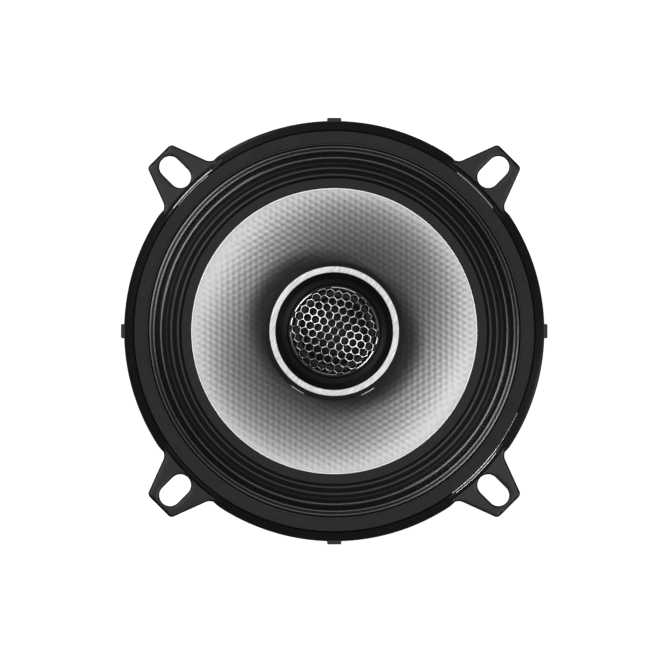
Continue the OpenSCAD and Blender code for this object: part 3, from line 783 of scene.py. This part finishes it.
def make_housing():
    """Black bowl under the trim ring, with its skirt."""
    wall_r = reach("tweeter_trim_ring")[0]
    skirt_r = reach("tweeter_housing")[0]
    low, top = reach("tweeter_housing")[1:]
    edge_z = reach("tweeter_trim_ring")[2] - 0.35
    shelf_z = reach("tweeter_faceplate")[1]
    bore_r, floor_z, skirt_low, skirt_top, neck_z = 4, -5.8, -4.2, -3.5, -2.2
    outline = profile(
        (bore_r, floor_z), (bore_r, low), (13.5, low, 3, 8),
        (skirt_r, skirt_low, 0.3, 4), (skirt_r, skirt_top, 0.3, 4), (wall_r, neck_z, 0.8, 6),
        (wall_r, edge_z - 0.3), (wall_r - 0.3, edge_z), (wall_r - RING_INSET, edge_z),
        (wall_r - RING_INSET, top), (wall_r - 1.2, top), (wall_r - 1.2, shelf_z),
        (wall_r - 2.2, shelf_z), (wall_r - 2.2, -3.2, 1.5, 6), (13, floor_z, 2, 6),
    )
    fixed(lathe("housing_bowl", outline, 256, 30), "tweeter_housing",
          black_plastic("housing_plastic", 0.012, 0.42, 0.006))
    # Two short white rods on the skirt's edge are painted glints of the lamps.
    wear_and_glint = plated("skirt_glint_metal", (1, 1, 1), 0.4)
    for name, middle in (("skirt_glint_left", 193), ("skirt_glint_right", 254)):
        line = level_arc(skirt_r - 0.2, skirt_top + 0.08, middle - 6, middle + 6, 24)
        fixed(rods(name, [line], 0.2, 8), "tweeter_housing", wear_and_glint)


def make_trim_ring():
    """Bright machined ring with broken edges."""
    outer_r, low, top = reach("tweeter_trim_ring")
    wall_z = reach("tweeter_housing")[2]
    inner_r = outer_r - 2.2
    edge_r = outer_r - RING_INSET
    outline = profile(
        (inner_r, low), (outer_r - 1.2, low), (outer_r - 1.2, wall_z), (edge_r, wall_z),
        (edge_r, top, 0.12, 5), (inner_r, top, 0.2, 6),
    )
    fixed(lathe("trim_ring", outline, 320, 40), "tweeter_trim_ring", machined_aluminium())


def make_faceplate():
    """Black flare that leads down to the mesh."""
    ring_r = reach("tweeter_trim_ring")[0]
    outer_r, low, top = reach("tweeter_faceplate")
    throat_r = reach("tweeter_grille")[0]
    seat_z = 3.4
    edge, bend = (outer_r - 1, top), (throat_r + 2.4, 5)
    outline = [
        [outer_r, low], [outer_r, low + 2.5], [ring_r - 2.2, low + 2.5], edge,
        *corner(edge, bend, (throat_r + 0.6, 4.3), 3, 6),
        *corner(bend, (throat_r + 0.4, 4.25), (throat_r, 4.0), 0.3, 4),
        [throat_r, seat_z], [throat_r - 1.1, seat_z], [throat_r - 1.1, low],
    ]
    fixed(lathe("faceplate_flare", outline, 256, 35), "tweeter_faceplate",
          black_plastic("faceplate_plastic", 0.005, 0.4, 0.003))


MESH_PITCH = 2.55
MESH_WEB = 0.44           # width of the bars between two holes
MESH_TURN = 2
MESH_T = 0.5
HOLE_ROUNDING = 0.55      # 0 is a hexagonal hole and 1 a round one
ROUND_HOLE = 1.06         # a round hole's radius against the hexagonal one's


def make_grille():
    """Domed mesh: one frame of round bars about each hexagonal hole, cut off by the rim."""
    rim_r, rim_z, crown_z = reach("tweeter_grille")
    field_r = rim_r - 0.5
    rim_top = rim_z + MESH_T
    rise = crown_z - rim_top
    sphere_r = (field_r ** 2 + rise ** 2) / (2 * rise)
    per_side = 4
    angle = np.radians(30) + np.arange(6 * per_side) * tau / (6 * per_side)
    from_flat = (angle + pi / 6) % (pi / 3) - pi / 6
    hexagon = 1 / np.cos(from_flat)
    apothem = MESH_PITCH / 2
    hole = apothem - MESH_WEB / 2
    # How far each ring of points is from the cell's edge to the hole's, and its height.
    section = [(0.0, 0.0), (0.6, 0.0), (0.8, -0.03), (0.93, -0.09), (1.0, -0.18), (1.0, -MESH_T + 0.06),
               (0.0, -MESH_T)]
    points, faces = [], []
    row = MESH_PITCH * cos(pi / 6)
    span = ceil(rim_r / row) + 1
    for j in range(-span, span + 1):
        for i in range(-span, span + 1):
            x, y = (i + (j % 2) / 2) * MESH_PITCH, j * row
            if hypot(x, y) > field_r + 0.2:
                continue
            first = len(points)
            for share, drop in section:
                edge = apothem * hexagon
                opening = hole * ((1 - HOLE_ROUNDING) * hexagon + HOLE_ROUNDING * ROUND_HOLE)
                r = edge + (opening - edge) * share
                px, py = x + r * np.cos(angle), y + r * np.sin(angle)
                limit = field_r - 0.35 * share
                squeeze = np.minimum(1, limit / np.maximum(np.hypot(px, py), 1e-6))
                px, py = px * squeeze, py * squeeze
                pz = crown_z - sphere_r + np.sqrt(sphere_r ** 2 - px ** 2 - py ** 2) + drop
                points += np.stack([px, py, pz], axis=1).tolist()
            faces += (grid_faces(len(section), len(angle)) + first).tolist()
    mesh = finished("grille_mesh", spun(points, MESH_TURN), faces, 60)
    fixed(mesh, "tweeter_grille", black_nickel())
    rim = softened(box_outline((field_r - 0.5, rim_z), (rim_r, rim_top)), 0.07)
    paint = black_plastic("rim_paint", 0.006, 0.3, 0.002)
    fixed(lathe("grille_rim", rim, 256, 50), "tweeter_grille", paint)


def make_dome():
    """Silk dome and its half-roll edge."""
    dome_r, base, top = reach("tweeter_dome")
    rise, t = top - base, 0.3
    sphere_r = (dome_r ** 2 + rise ** 2) / (2 * rise)
    limit = asin(dome_r / sphere_r)
    outline = [[r * sin(a), top - sphere_r + r * cos(a)]
               for r, start, end in ((sphere_r, 0, limit), (sphere_r - t, limit, 0))
               for a in np.linspace(start, end, 28)]
    fixed(lathe("dome_shell", outline, 160, 50), "tweeter_dome", silk("dome_silk"))
    roll_r, z, t = 1.3, base + 0.125, 0.25
    middle = dome_r + 0.1 + roll_r
    path = [np.array([middle + roll_r * cos(a), z + 0.65 * sin(a)])
            for a in np.linspace(pi, 0, 21)]
    path.append(np.array([middle + roll_r + 1.9, z]))
    edge = lathe("dome_roll", sheet_outline(path, t), 200, 60)
    cloth = silk("edge_silk")
    flexing(edge, "tweeter_suspension", cloth)


# ---- Wires ----

BLADE_TOP = -17.5
BLADE_Y = 5.5
WIRE_D = 1.0
BARE_D = 0.8
CAPACITOR_X = 43.5
CAPACITOR_Z = -25.3
JOINT_Y = -12.6           # where the capacitor's lead meets a tweeter wire
JOINT_Z = CAPACITOR_Z - 4.2


def make_capacitor_leads():
    """Bare leads: one to the positive blade, one to a tweeter wire."""
    end = 8.5
    top = BLADE_TOP + BARE_D / 2 + 0.02
    routes = [
        [(CAPACITOR_X, end, CAPACITOR_Z), (CAPACITOR_X, -JOINT_Y, CAPACITOR_Z),
         (CAPACITOR_X, -JOINT_Y, top), (CAPACITOR_X, BLADE_Y, top)],
        [(CAPACITOR_X, -end, CAPACITOR_Z), (CAPACITOR_X, JOINT_Y, CAPACITOR_Z),
         (CAPACITOR_X, JOINT_Y, JOINT_Z)],
    ]
    paths = [spun(rounded(route, 1.2, 10), TERMINAL_ANGLE) for route in routes]
    fixed(rods("capacitor_wires", paths, BARE_D / 2, 14), "capacitor_leads",
          plated("tinned_wire", (0.66, 0.66, 0.65), 0.3))


def make_tweeter_leads():
    """Two insulated wires, down the motor's side, in its groove and up through the post."""
    motor_r = reach("ring_magnet")[0]
    groove_z = reach("yoke")[1] + 1
    drop_z = reach("top_plate")[1] - 4
    side_x, rise_x, cavity_z, pitch = motor_r + 1.6, 13.6, -5.0, 1.4
    paths = []
    for s in (-1, 1):
        y = s * pitch / 2
        turn_z = drop_z + s - 1
        home = [(side_x, y, turn_z - 7), (side_x, y, groove_z), (0, y, groove_z),
                (0, y, cavity_z), (rise_x, y, cavity_z), (rise_x, y, 1.8)]
        if s > 0:
            start = [(CAPACITOR_X, JOINT_Y, JOINT_Z), (CAPACITOR_X, JOINT_Y, turn_z)]
        else:
            top = BLADE_TOP + WIRE_D / 2 + 0.02
            start = [(CAPACITOR_X, -BLADE_Y, top), (CAPACITOR_X, JOINT_Y - 1.6, top),
                     (CAPACITOR_X, JOINT_Y - 1.6, turn_z)]
        paths.append(spun(rounded(start + home, 0.75, 8), TERMINAL_ANGLE))
    fixed(rods("tweeter_wires", paths, WIRE_D / 2, 14), "tweeter_leads", pvc())


def make_tinsel_leads():
    """Two braided leads of twisted strands, slack between the blades and the voice coil."""
    pad_r, pad_z = 13.3, -17.95
    top = BLADE_TOP + WIRE_D / 2 + 0.02
    strands, strand_d, lay, step = 6, 0.36, 3.2, 0.3
    paths = []
    for s in (-1, 1):
        route = [
            (pad_r * cos(radians(20)), s * pad_r * sin(radians(20)), pad_z),
            (18, s * 6.4, pad_z + 0.4), (24, s * 7.2, pad_z + 3.4), (33, s * 6.6, pad_z + 4),
            (39, s * 5.6, top), (42.2, s * BLADE_Y, top),
        ]
        middle = fine(rounded(route, 2.5, 10), step)
        along = directions(middle)
        across = np.cross(along, [0, 0, 1])
        across /= np.linalg.norm(across, axis=1)[:, None]
        other = np.cross(along, across)
        phase = np.arange(len(middle)) * step / lay * tau
        for k in range(strands):
            a = (phase + k * tau / strands)[:, None]
            offset = (WIRE_D - strand_d) / 2 * (np.cos(a) * across + np.sin(a) * other)
            paths.append(spun(middle + offset, TERMINAL_ANGLE))
    piece = rods("tinsel_strands", paths, strand_d / 2, 8)
    flexing(piece, "tinsel_leads", tinsel_braid())


# ---- Basket ----

SHEET_T = 1.2
FLANGE_Z = 2.0            # middle of the sheet on the flange
FLANGE_R = 60.0           # where the rim's mesh joins the bowl's
BOWL_R = (56.4, 38.4, 33.2)   # middle of the sheet on the barrel, the spider's ledge and the cup
LIP_R = 61.0              # where the lip starts
LIP_EDGE = 64.4
LIP_BEND = 0.3            # how far the lip's bends round off
LIP_PATH = ((LIP_R, FLANGE_Z), (61.6, FLANGE_Z), (LIP_EDGE, 0.45), (LIP_EDGE, 0.1))
STEP_R = 62.4             # where the tabs are pressed down
STEP_WIDTH = 0.9
# Radii of the rings of points across the lip.
LIP_ROWS = (61.0, 61.3, 61.5, 61.7, 61.9, 62.3, 62.8, 63.2, 63.5, 63.7, 63.85)
TAB_Z = 0.6
TAB_TIP = 10.2            # width at the tip
TAB_FLARE = 20.5          # angle between a side and the tab's middle line
TAB_FILLET = 3.2
TAB_ROOT = 13.6           # half the width where a tab starts to come out of the lip
TAB_BLEND = 4.2           # and how much further in it is free of the lip
FILL_STEP = 0.9           # between the points that fill a tab
SLOT_PCD = 138.7
SLOT_W = 6.6
SLOT_LENGTH = 11.1
EDGE_ROUND = 0.5          # how far from a cut edge the sheet's faces round off
QUARTER_STEPS = 96        # points per quarter turn where meshes join
SPREAD = 40.0             # millimetres per radian in the bowl's flat plan

# Painted highlights beside the tabs, on their steps and the gasket's edge: radius, height, first and last
# angle in degrees, and half their width.
PAINTED_HIGHLIGHT_LINES = (
    ("highlight_step_1", 62.25, 2.46, 82.3, 97.7, 0.28),
    ("highlight_edge_1", 61.62, 3.40, 84.0, 96.0, 0.11),
    ("highlight_step_2", 62.30, 2.50, 262.0, 278.0, 0.18),
    ("highlight_edge_2", 61.52, 3.44, 261.0, 279.0, 0.32),
    ("highlight_edge_3", 61.60, 3.40, 279.0, 291.0, 0.10),
    ("highlight_edge_4", 61.70, 3.36, -7.2, 7.2, 0.2),
)


def closed(loop):
    """A loop that ends on its first point."""
    return np.concatenate([loop, loop[:1]])


def between(path):
    """Start and end of each side of a closed loop, as two arrays."""
    return path, np.roll(path, -1, axis=0)


def inside(points, loop):
    """Which points lie within a closed loop."""
    a, b = between(loop)
    x, y = points[:, :1], points[:, 1:]
    crosses = (a[:, 1] > y) != (b[:, 1] > y)
    rise = np.where(b[:, 1] == a[:, 1], 1e-12, b[:, 1] - a[:, 1])
    at = a[:, 0] + (y - a[:, 1]) * (b[:, 0] - a[:, 0]) / rise
    return (np.sum(crosses & (x < at), axis=1) % 2).astype(bool)


def distance_to(points, path):
    """Distance of each point from an open path."""
    a, b = path[:-1], path[1:]
    along = b - a
    size = np.maximum((along ** 2).sum(axis=1), 1e-12)
    best = np.full(len(points), 1e9)
    for start, way, square in zip(a, along, size):
        f = np.clip(((points - start) @ way) / square, 0, 1)
        best = np.minimum(best, np.linalg.norm(points - start - f[:, None] * way, axis=1))
    return best


def within(points, outline, holes):
    """Which points lie in an outline and outside its holes."""
    use = inside(points, outline)
    for hole in holes:
        use &= ~inside(points, hole)
    return use


def triangles(outline, cut_edges, holes, filling):
    """Plane mesh inside an outline: its points, its faces and each point's distance from a cut edge."""
    cut_edges = cut_edges + [closed(hole) for hole in holes]
    near = np.min([distance_to(filling, edge) for edge in cut_edges], axis=0)
    keep = within(filling, outline, holes) & (near > 2 * EDGE_ROUND)
    keep &= distance_to(filling, closed(outline)) > 0.3
    rows = [filling[keep]]
    for edge in cut_edges:
        for gap in (0.3 * EDGE_ROUND, EDGE_ROUND):
            for side in (-gap, gap):
                row = edge + sides(edge) * side
                rows.append(row[within(row, outline, holes) & (distance_to(row, edge) > 0.8 * gap)])
    points, edges = [], []
    for loop in [outline, *holes]:
        first = len(points)
        points += [Vector(p) for p in loop]
        edges += [(first + i, first + (i + 1) % len(loop)) for i in range(len(loop))]
    points += [Vector(p) for p in np.concatenate(rows)]
    made = delaunay_2d_cdt(points, edges, [], 0, 1e-4)
    flat = np.array([list(p) for p in made[0]])
    faces = np.array([list(f) for f in made[2]])
    use = within(flat[faces].mean(axis=1), outline, holes)
    depth = np.min([distance_to(flat, edge) for edge in cut_edges], axis=0)
    return flat, faces[use], depth


def arc(radius, start, end, steps, centre=(0, 0)):
    """Points along a circle, with its angles in radians."""
    a = np.linspace(start, end, steps + 1)
    return np.stack([centre[0] + radius * np.cos(a), centre[1] + radius * np.sin(a)], axis=1)


def tab_side(tab_reach):
    """Half a tab's edge, from the rim's edge at 45 degrees in to the tab's tip."""
    slope = radians(TAB_FLARE)
    normal = np.array([sin(slope), cos(slope)])
    way = np.array([cos(slope), -sin(slope)])
    foot = np.array([tab_reach, TAB_TIP / 2])
    off = foot + TAB_FILLET * normal
    along = off @ way
    step = -along + sqrt(along ** 2 - off @ off + (LIP_EDGE + TAB_FILLET) ** 2)
    centre = off + step * way
    turn = atan2(centre[1], centre[0])
    root = arc(LIP_EDGE, pi / 4, turn, 34)
    meets = atan2(-normal[1], -normal[0]) % tau
    bend = arc(TAB_FILLET, turn + pi, meets, 8, centre)[1:]
    tip = np.array(corner(bend[-1], foot, (tab_reach, 0), 1.6, 7))
    straight = np.linspace(bend[-1], tip[0], 12)[1:-1]
    return np.concatenate([root, bend, straight, tip, [[tab_reach, tip[-1][1] / 2]]])


def rim_mesh():
    """A quarter of the rim with one tab: points, faces and depth from the cut edges."""
    tab_reach = reach("basket")[0]
    half = tab_side(tab_reach)
    edge = np.concatenate([half, [[tab_reach, 0]], half[::-1] * [1, -1]])
    seam = np.array([*LIP_ROWS, LIP_EDGE - EDGE_ROUND, LIP_EDGE - 0.3 * EDGE_ROUND])
    diagonal = np.array([1, 1]) / sqrt(2)
    inner = arc(FLANGE_R, -pi / 4, pi / 4, QUARTER_STEPS)
    outline = np.concatenate([
        edge, seam[::-1, None] * diagonal * [1, -1], inner, seam[:, None] * diagonal,
    ])
    ends = (SLOT_LENGTH - SLOT_W) / 2
    far_end = arc(SLOT_W / 2, -pi / 2, pi / 2, 14, (SLOT_PCD / 2 + ends, 0))
    near_end = arc(SLOT_W / 2, pi / 2, 1.5 * pi, 14, (SLOT_PCD / 2 - ends, 0))
    slot = np.concatenate([far_end, np.linspace(far_end[-1], near_end[0], 5)[1:-1],
                           near_end, np.linspace(near_end[-1], far_end[0], 5)[1:-1]])
    rings = [arc(r, -pi / 4, pi / 4, 110)
             for r in (*LIP_ROWS, *(STEP_R + np.array([0.12, 0.36, 0.6, 0.8])))]
    grid = np.stack(np.meshgrid(np.arange(LIP_EDGE + 0.1, tab_reach, FILL_STEP),
                                np.arange(-14, 14, FILL_STEP)), axis=-1)
    filling = np.concatenate([*rings, grid.reshape(-1, 2)])
    flat, faces, depth = triangles(outline, [edge], [slot], filling)
    r = np.hypot(flat[:, 0], flat[:, 1])
    lip = fine(rounded([(r, z, 0) for r, z in LIP_PATH], LIP_BEND), 0.02)
    share = np.clip((r - LIP_R) / (LIP_EDGE - LIP_R), 0, 1)
    along = np.linspace(0, 1, len(lip))
    rolled = np.interp(share, along, lip[:, 1])
    rolled_r = np.interp(share, along, lip[:, 0])
    rolled_r += np.minimum(r, LIP_R) - LIP_R + np.maximum(r - LIP_EDGE, 0)
    down = np.clip((r - STEP_R + 0.1) / STEP_WIDTH, 0, 1)
    stepped = FLANGE_Z + (TAB_Z - FLANGE_Z) * (1 - np.cos(pi * down)) / 2
    side = np.clip((TAB_ROOT - np.abs(flat[:, 1])) / TAB_BLEND, 0, 1)
    share = side * side * (3 - 2 * side)
    wider = (rolled_r + (r - rolled_r) * share) / r
    return np.column_stack([flat * wider[:, None], rolled + (stepped - rolled) * share]), faces, depth


def bowl_path():
    """Middle line of the sheet from the flange down to the floor round the pole."""
    wall_r, ledge_r, cup_r = BOWL_R
    slope_z, ledge_z, floor_z, pole_r = -7.5, -20.5, -26.6, 15.6
    return profile(
        (FLANGE_R, FLANGE_Z), (wall_r, FLANGE_Z, 1, 6), (wall_r, slope_z, 2, 7), (ledge_r, ledge_z, 1, 4),
        (cup_r, ledge_z, 1, 6), (cup_r, floor_z, 1, 6), (pole_r, floor_z),
    )


def bowl_mesh():
    """A quarter of the bowl with its window and two vents."""
    path = np.array(bowl_path())
    wall_r, ledge_r, cup_r = BOWL_R
    run = lengths(path)
    marks = np.unique(np.concatenate([
        run, *[np.linspace(a, b, max(1, round((b - a) / 1.4)) + 1) for a, b in zip(run, run[1:])],
    ]).round(4))
    quarter = pi / 2
    across = np.linspace(0, quarter * SPREAD, QUARTER_STEPS + 1)
    low = np.column_stack([np.full(len(across), marks[0]), across])
    high = np.column_stack([np.full(len(across), marks[-1]), across])
    between_marks = marks[1:-1]
    left = np.column_stack([between_marks, np.zeros(len(between_marks))])
    right = left + [0, across[-1]]
    outline = np.concatenate([low[::-1], left, high, right[::-1]])

    def on_slope(radius):
        """How far down the path the slope has a radius."""
        slope = (path[:, 0] > ledge_r) & (path[:, 0] < wall_r - 0.001)
        return np.interp(radius, path[slope][::-1, 0], run[slope][::-1])

    inner_r, outer_r, half = 40.5, 54.5, radians(34)
    start, end = (quarter / 2 - half) * SPREAD, (quarter / 2 + half) * SPREAD
    window = box_outline((on_slope(outer_r), start), (on_slope(inner_r), end))
    holes = [spaced(np.array(softened(window, 3.2, 8)), 0.8)]
    cup = path[:, 0] < cup_r + 0.1
    high_z, low_z, vent_half = -22.2, -24.4, asin(4.5 / cup_r) * SPREAD
    top, bottom = np.interp([high_z, low_z], path[cup][::-1, 1], run[cup][::-1])
    for middle in (across[-1] / 4, across[-1] * 3 / 4):
        vent = box_outline((top, middle - vent_half), (bottom, middle + vent_half))
        holes.append(spaced(vent, 0.7))
    filling = np.stack(np.meshgrid(between_marks, across[1:-1]), axis=-1).reshape(-1, 2)
    flat, faces, depth = triangles(outline, [], holes, filling)
    r = np.interp(flat[:, 0], run, path[:, 0])
    z = np.interp(flat[:, 0], run, path[:, 1])
    turn = flat[:, 1] / SPREAD
    return np.column_stack([r * np.cos(turn), r * np.sin(turn), z]), faces, depth


def spaced(loop, step):
    """A closed loop with extra points on its long sides."""
    points = []
    for a, b in zip(*between(loop)):
        count = max(1, round(np.linalg.norm(b - a) / step))
        points += [a + (b - a) * i / count for i in range(count)]
    return np.array(points)


def thick_sheet(name, quarter_meshes):
    """Four copies of some middle-surface meshes, joined and given the sheet's thickness."""
    sheet = bmesh.new()
    depth_layer = sheet.verts.layers.float.new("depth")
    for turn in range(4):
        c, s = round(cos(turn * pi / 2)), round(sin(turn * pi / 2))
        for points, faces, depth in quarter_meshes:
            verts = []
            for (x, y, z), away in zip(points, depth):
                vert = sheet.verts.new((c * x - s * y, s * x + c * y, z))
                vert[depth_layer] = away
                verts.append(vert)
            for face in faces:
                sheet.faces.new([verts[i] for i in face])
    bmesh.ops.remove_doubles(sheet, verts=sheet.verts, dist=0.02)
    bmesh.ops.recalc_face_normals(sheet, faces=sheet.faces)
    sheet.normal_update()
    sheet.verts.index_update()
    count = len(sheet.verts)
    top, bottom = [], []
    for vert in sheet.verts:
        near = max(0.0, EDGE_ROUND - vert[depth_layer])
        half = SHEET_T / 2 - EDGE_ROUND + sqrt(max(EDGE_ROUND ** 2 - near ** 2, 0))
        top.append(vert.co + vert.normal * half)
        bottom.append(vert.co - vert.normal * half)
    faces = [[v.index for v in face.verts] for face in sheet.faces]
    faces += [[i + count for i in face[::-1]] for face in faces]
    for edge in sheet.edges:
        if edge.is_boundary:
            i, j = edge.verts[0].index, edge.verts[1].index
            faces.append([i, j, j + count, i + count])
    sheet.free()
    return finished(name, top + bottom, faces, 65)


def plate(name, outline, low, high, edge, turn=0):
    """A flat plate with slightly broken edges, turned about Z; its outline runs anticlockwise."""
    outline = np.array(outline)
    lapped = np.concatenate([outline[-1:], outline, outline[:1]])
    inner = outline + sides(lapped)[1:-1] * edge
    rows = []
    for loop, z in ((inner, low), (outline, low + edge), (outline, high - edge), (inner, high)):
        rows += [(x, y, z) for x, y in loop]
    size = len(outline)
    faces = grid_faces(4, size, close_rows=False).tolist()
    faces += [list(range(size)), list(range(3 * size, 4 * size))]
    return finished(name, spun(rows, turn), faces, 30)


def make_basket():
    """Pressed basket: bowl, rolled rim and tabs, with its locating nibs and terminal ear."""
    coat = powder_coat()
    fixed(thick_sheet("basket_pressing", [rim_mesh(), bowl_mesh()]), "basket", coat)
    highlight_metal = plated("painted_highlight_metal", (0.95, 0.95, 0.96), 0.42)
    # Thin bright rods along the tab steps and the gasket's edge: painted highlights.
    for name, r, z, start, end, thick in PAINTED_HIGHLIGHT_LINES:
        fixed(rods(name, [level_arc(r, z, start, end, 40)], thick, 10), "basket", highlight_metal)
    for i in range(4):
        nib = softened(box_outline((63.6, -2.2), (65.75, 2.2)), 0.35, 3)
        fixed(plate(f"rim_nib_{i + 1}", nib, 0.02, 1.0, 0.15, 45 + 90 * i), "basket", coat)
    ear = softened(box_outline((38, -11), (50, 11)), 1.8, 5)
    fixed(plate("terminal_ear", ear, -21.08, -19.92, 0.2, TERMINAL_ANGLE), "basket", coat)


# ---- Front gasket ----


def make_front_gasket():
    """Foam ring on the flange, on a near-black sheet whose edge past the foam is a painted shadow line."""
    low, high = reach("front_gasket")[1:]
    inner_r, outer_r = 57.7, 61.45
    outline = profile((inner_r, low), (outer_r, low), (outer_r, high, 0.15, 4), (inner_r, high, 0.3, 4))
    fixed(lathe("gasket_ring", outline, 320, 50), "front_gasket", foam("front_foam", 0.03))
    # The near-black sheet reaches past the foam's edge: a painted shadow line between gasket and lip.
    film = [(inner_r, low), (61.9, low), (62.0, low + 0.03), (61.8, low + 0.12), (inner_r, low + 0.12)]
    fixed(lathe("gasket_shadow_ring", film, 320, 30), "front_gasket", shadow_line_sheet())


# ---- The whole speaker ----


def dress_frame():
    """Materials of the CAD nodes that stay in view."""
    bright = ("basket_rivets", "post_stud", "post_washer", "post_nut", "tweeter_magnet", "terminal_rivets")
    for material, names in (
        (zinc_steel("zinc_steel", 0.5), ("top_plate", "yoke", "tweeter_yoke", "tweeter_pole_plate")),
        (zinc_steel("bright_steel", 0.3), bright),
        (amber_film(), ("voice_coil_former", "tweeter_coil_former")),
        (copper_winding(), ("tweeter_coil_winding",)),
        (foam("rear_foam", 0.012), ("rear_gasket",)),
        (plated("solder_pads", (0.72, 0.7, 0.66), 0.35), ("lead_pads",)),
        (ferrite(), ("ring_magnet",)),
        (black_plastic("post_nylon", 0.014, 0.5, 0.01), ("tweeter_post",)),
        (felt(), ("tweeter_felt",)),
        (phenolic_board(), ("terminal_board",)),
        (plated("gold_plate", (0.83, 0.6, 0.22), 0.26), ("positive_terminal",)),
        (plated("tin_plate", (0.7, 0.7, 0.68), 0.32), ("negative_terminal",)),
        (shrink_sleeve(), ("crossover_capacitor",)),
    ):
        for name in names:
            for slot in frame["nodes"][name].material_slots:
                slot.material = material


add_camera()
add_world()
add_floor()
for lamp_facts in LAMPS:
    add_softbox(*lamp_facts)
bpy.context.scene.view_settings.view_transform = "Standard"

dress_frame()
make_basket()
make_front_gasket()
make_cone()
make_surround()
make_spider()
make_voice_coil()
make_housing()
make_trim_ring()
make_faceplate()
make_grille()
make_dome()
make_capacitor_leads()
make_tweeter_leads()
make_tinsel_leads()
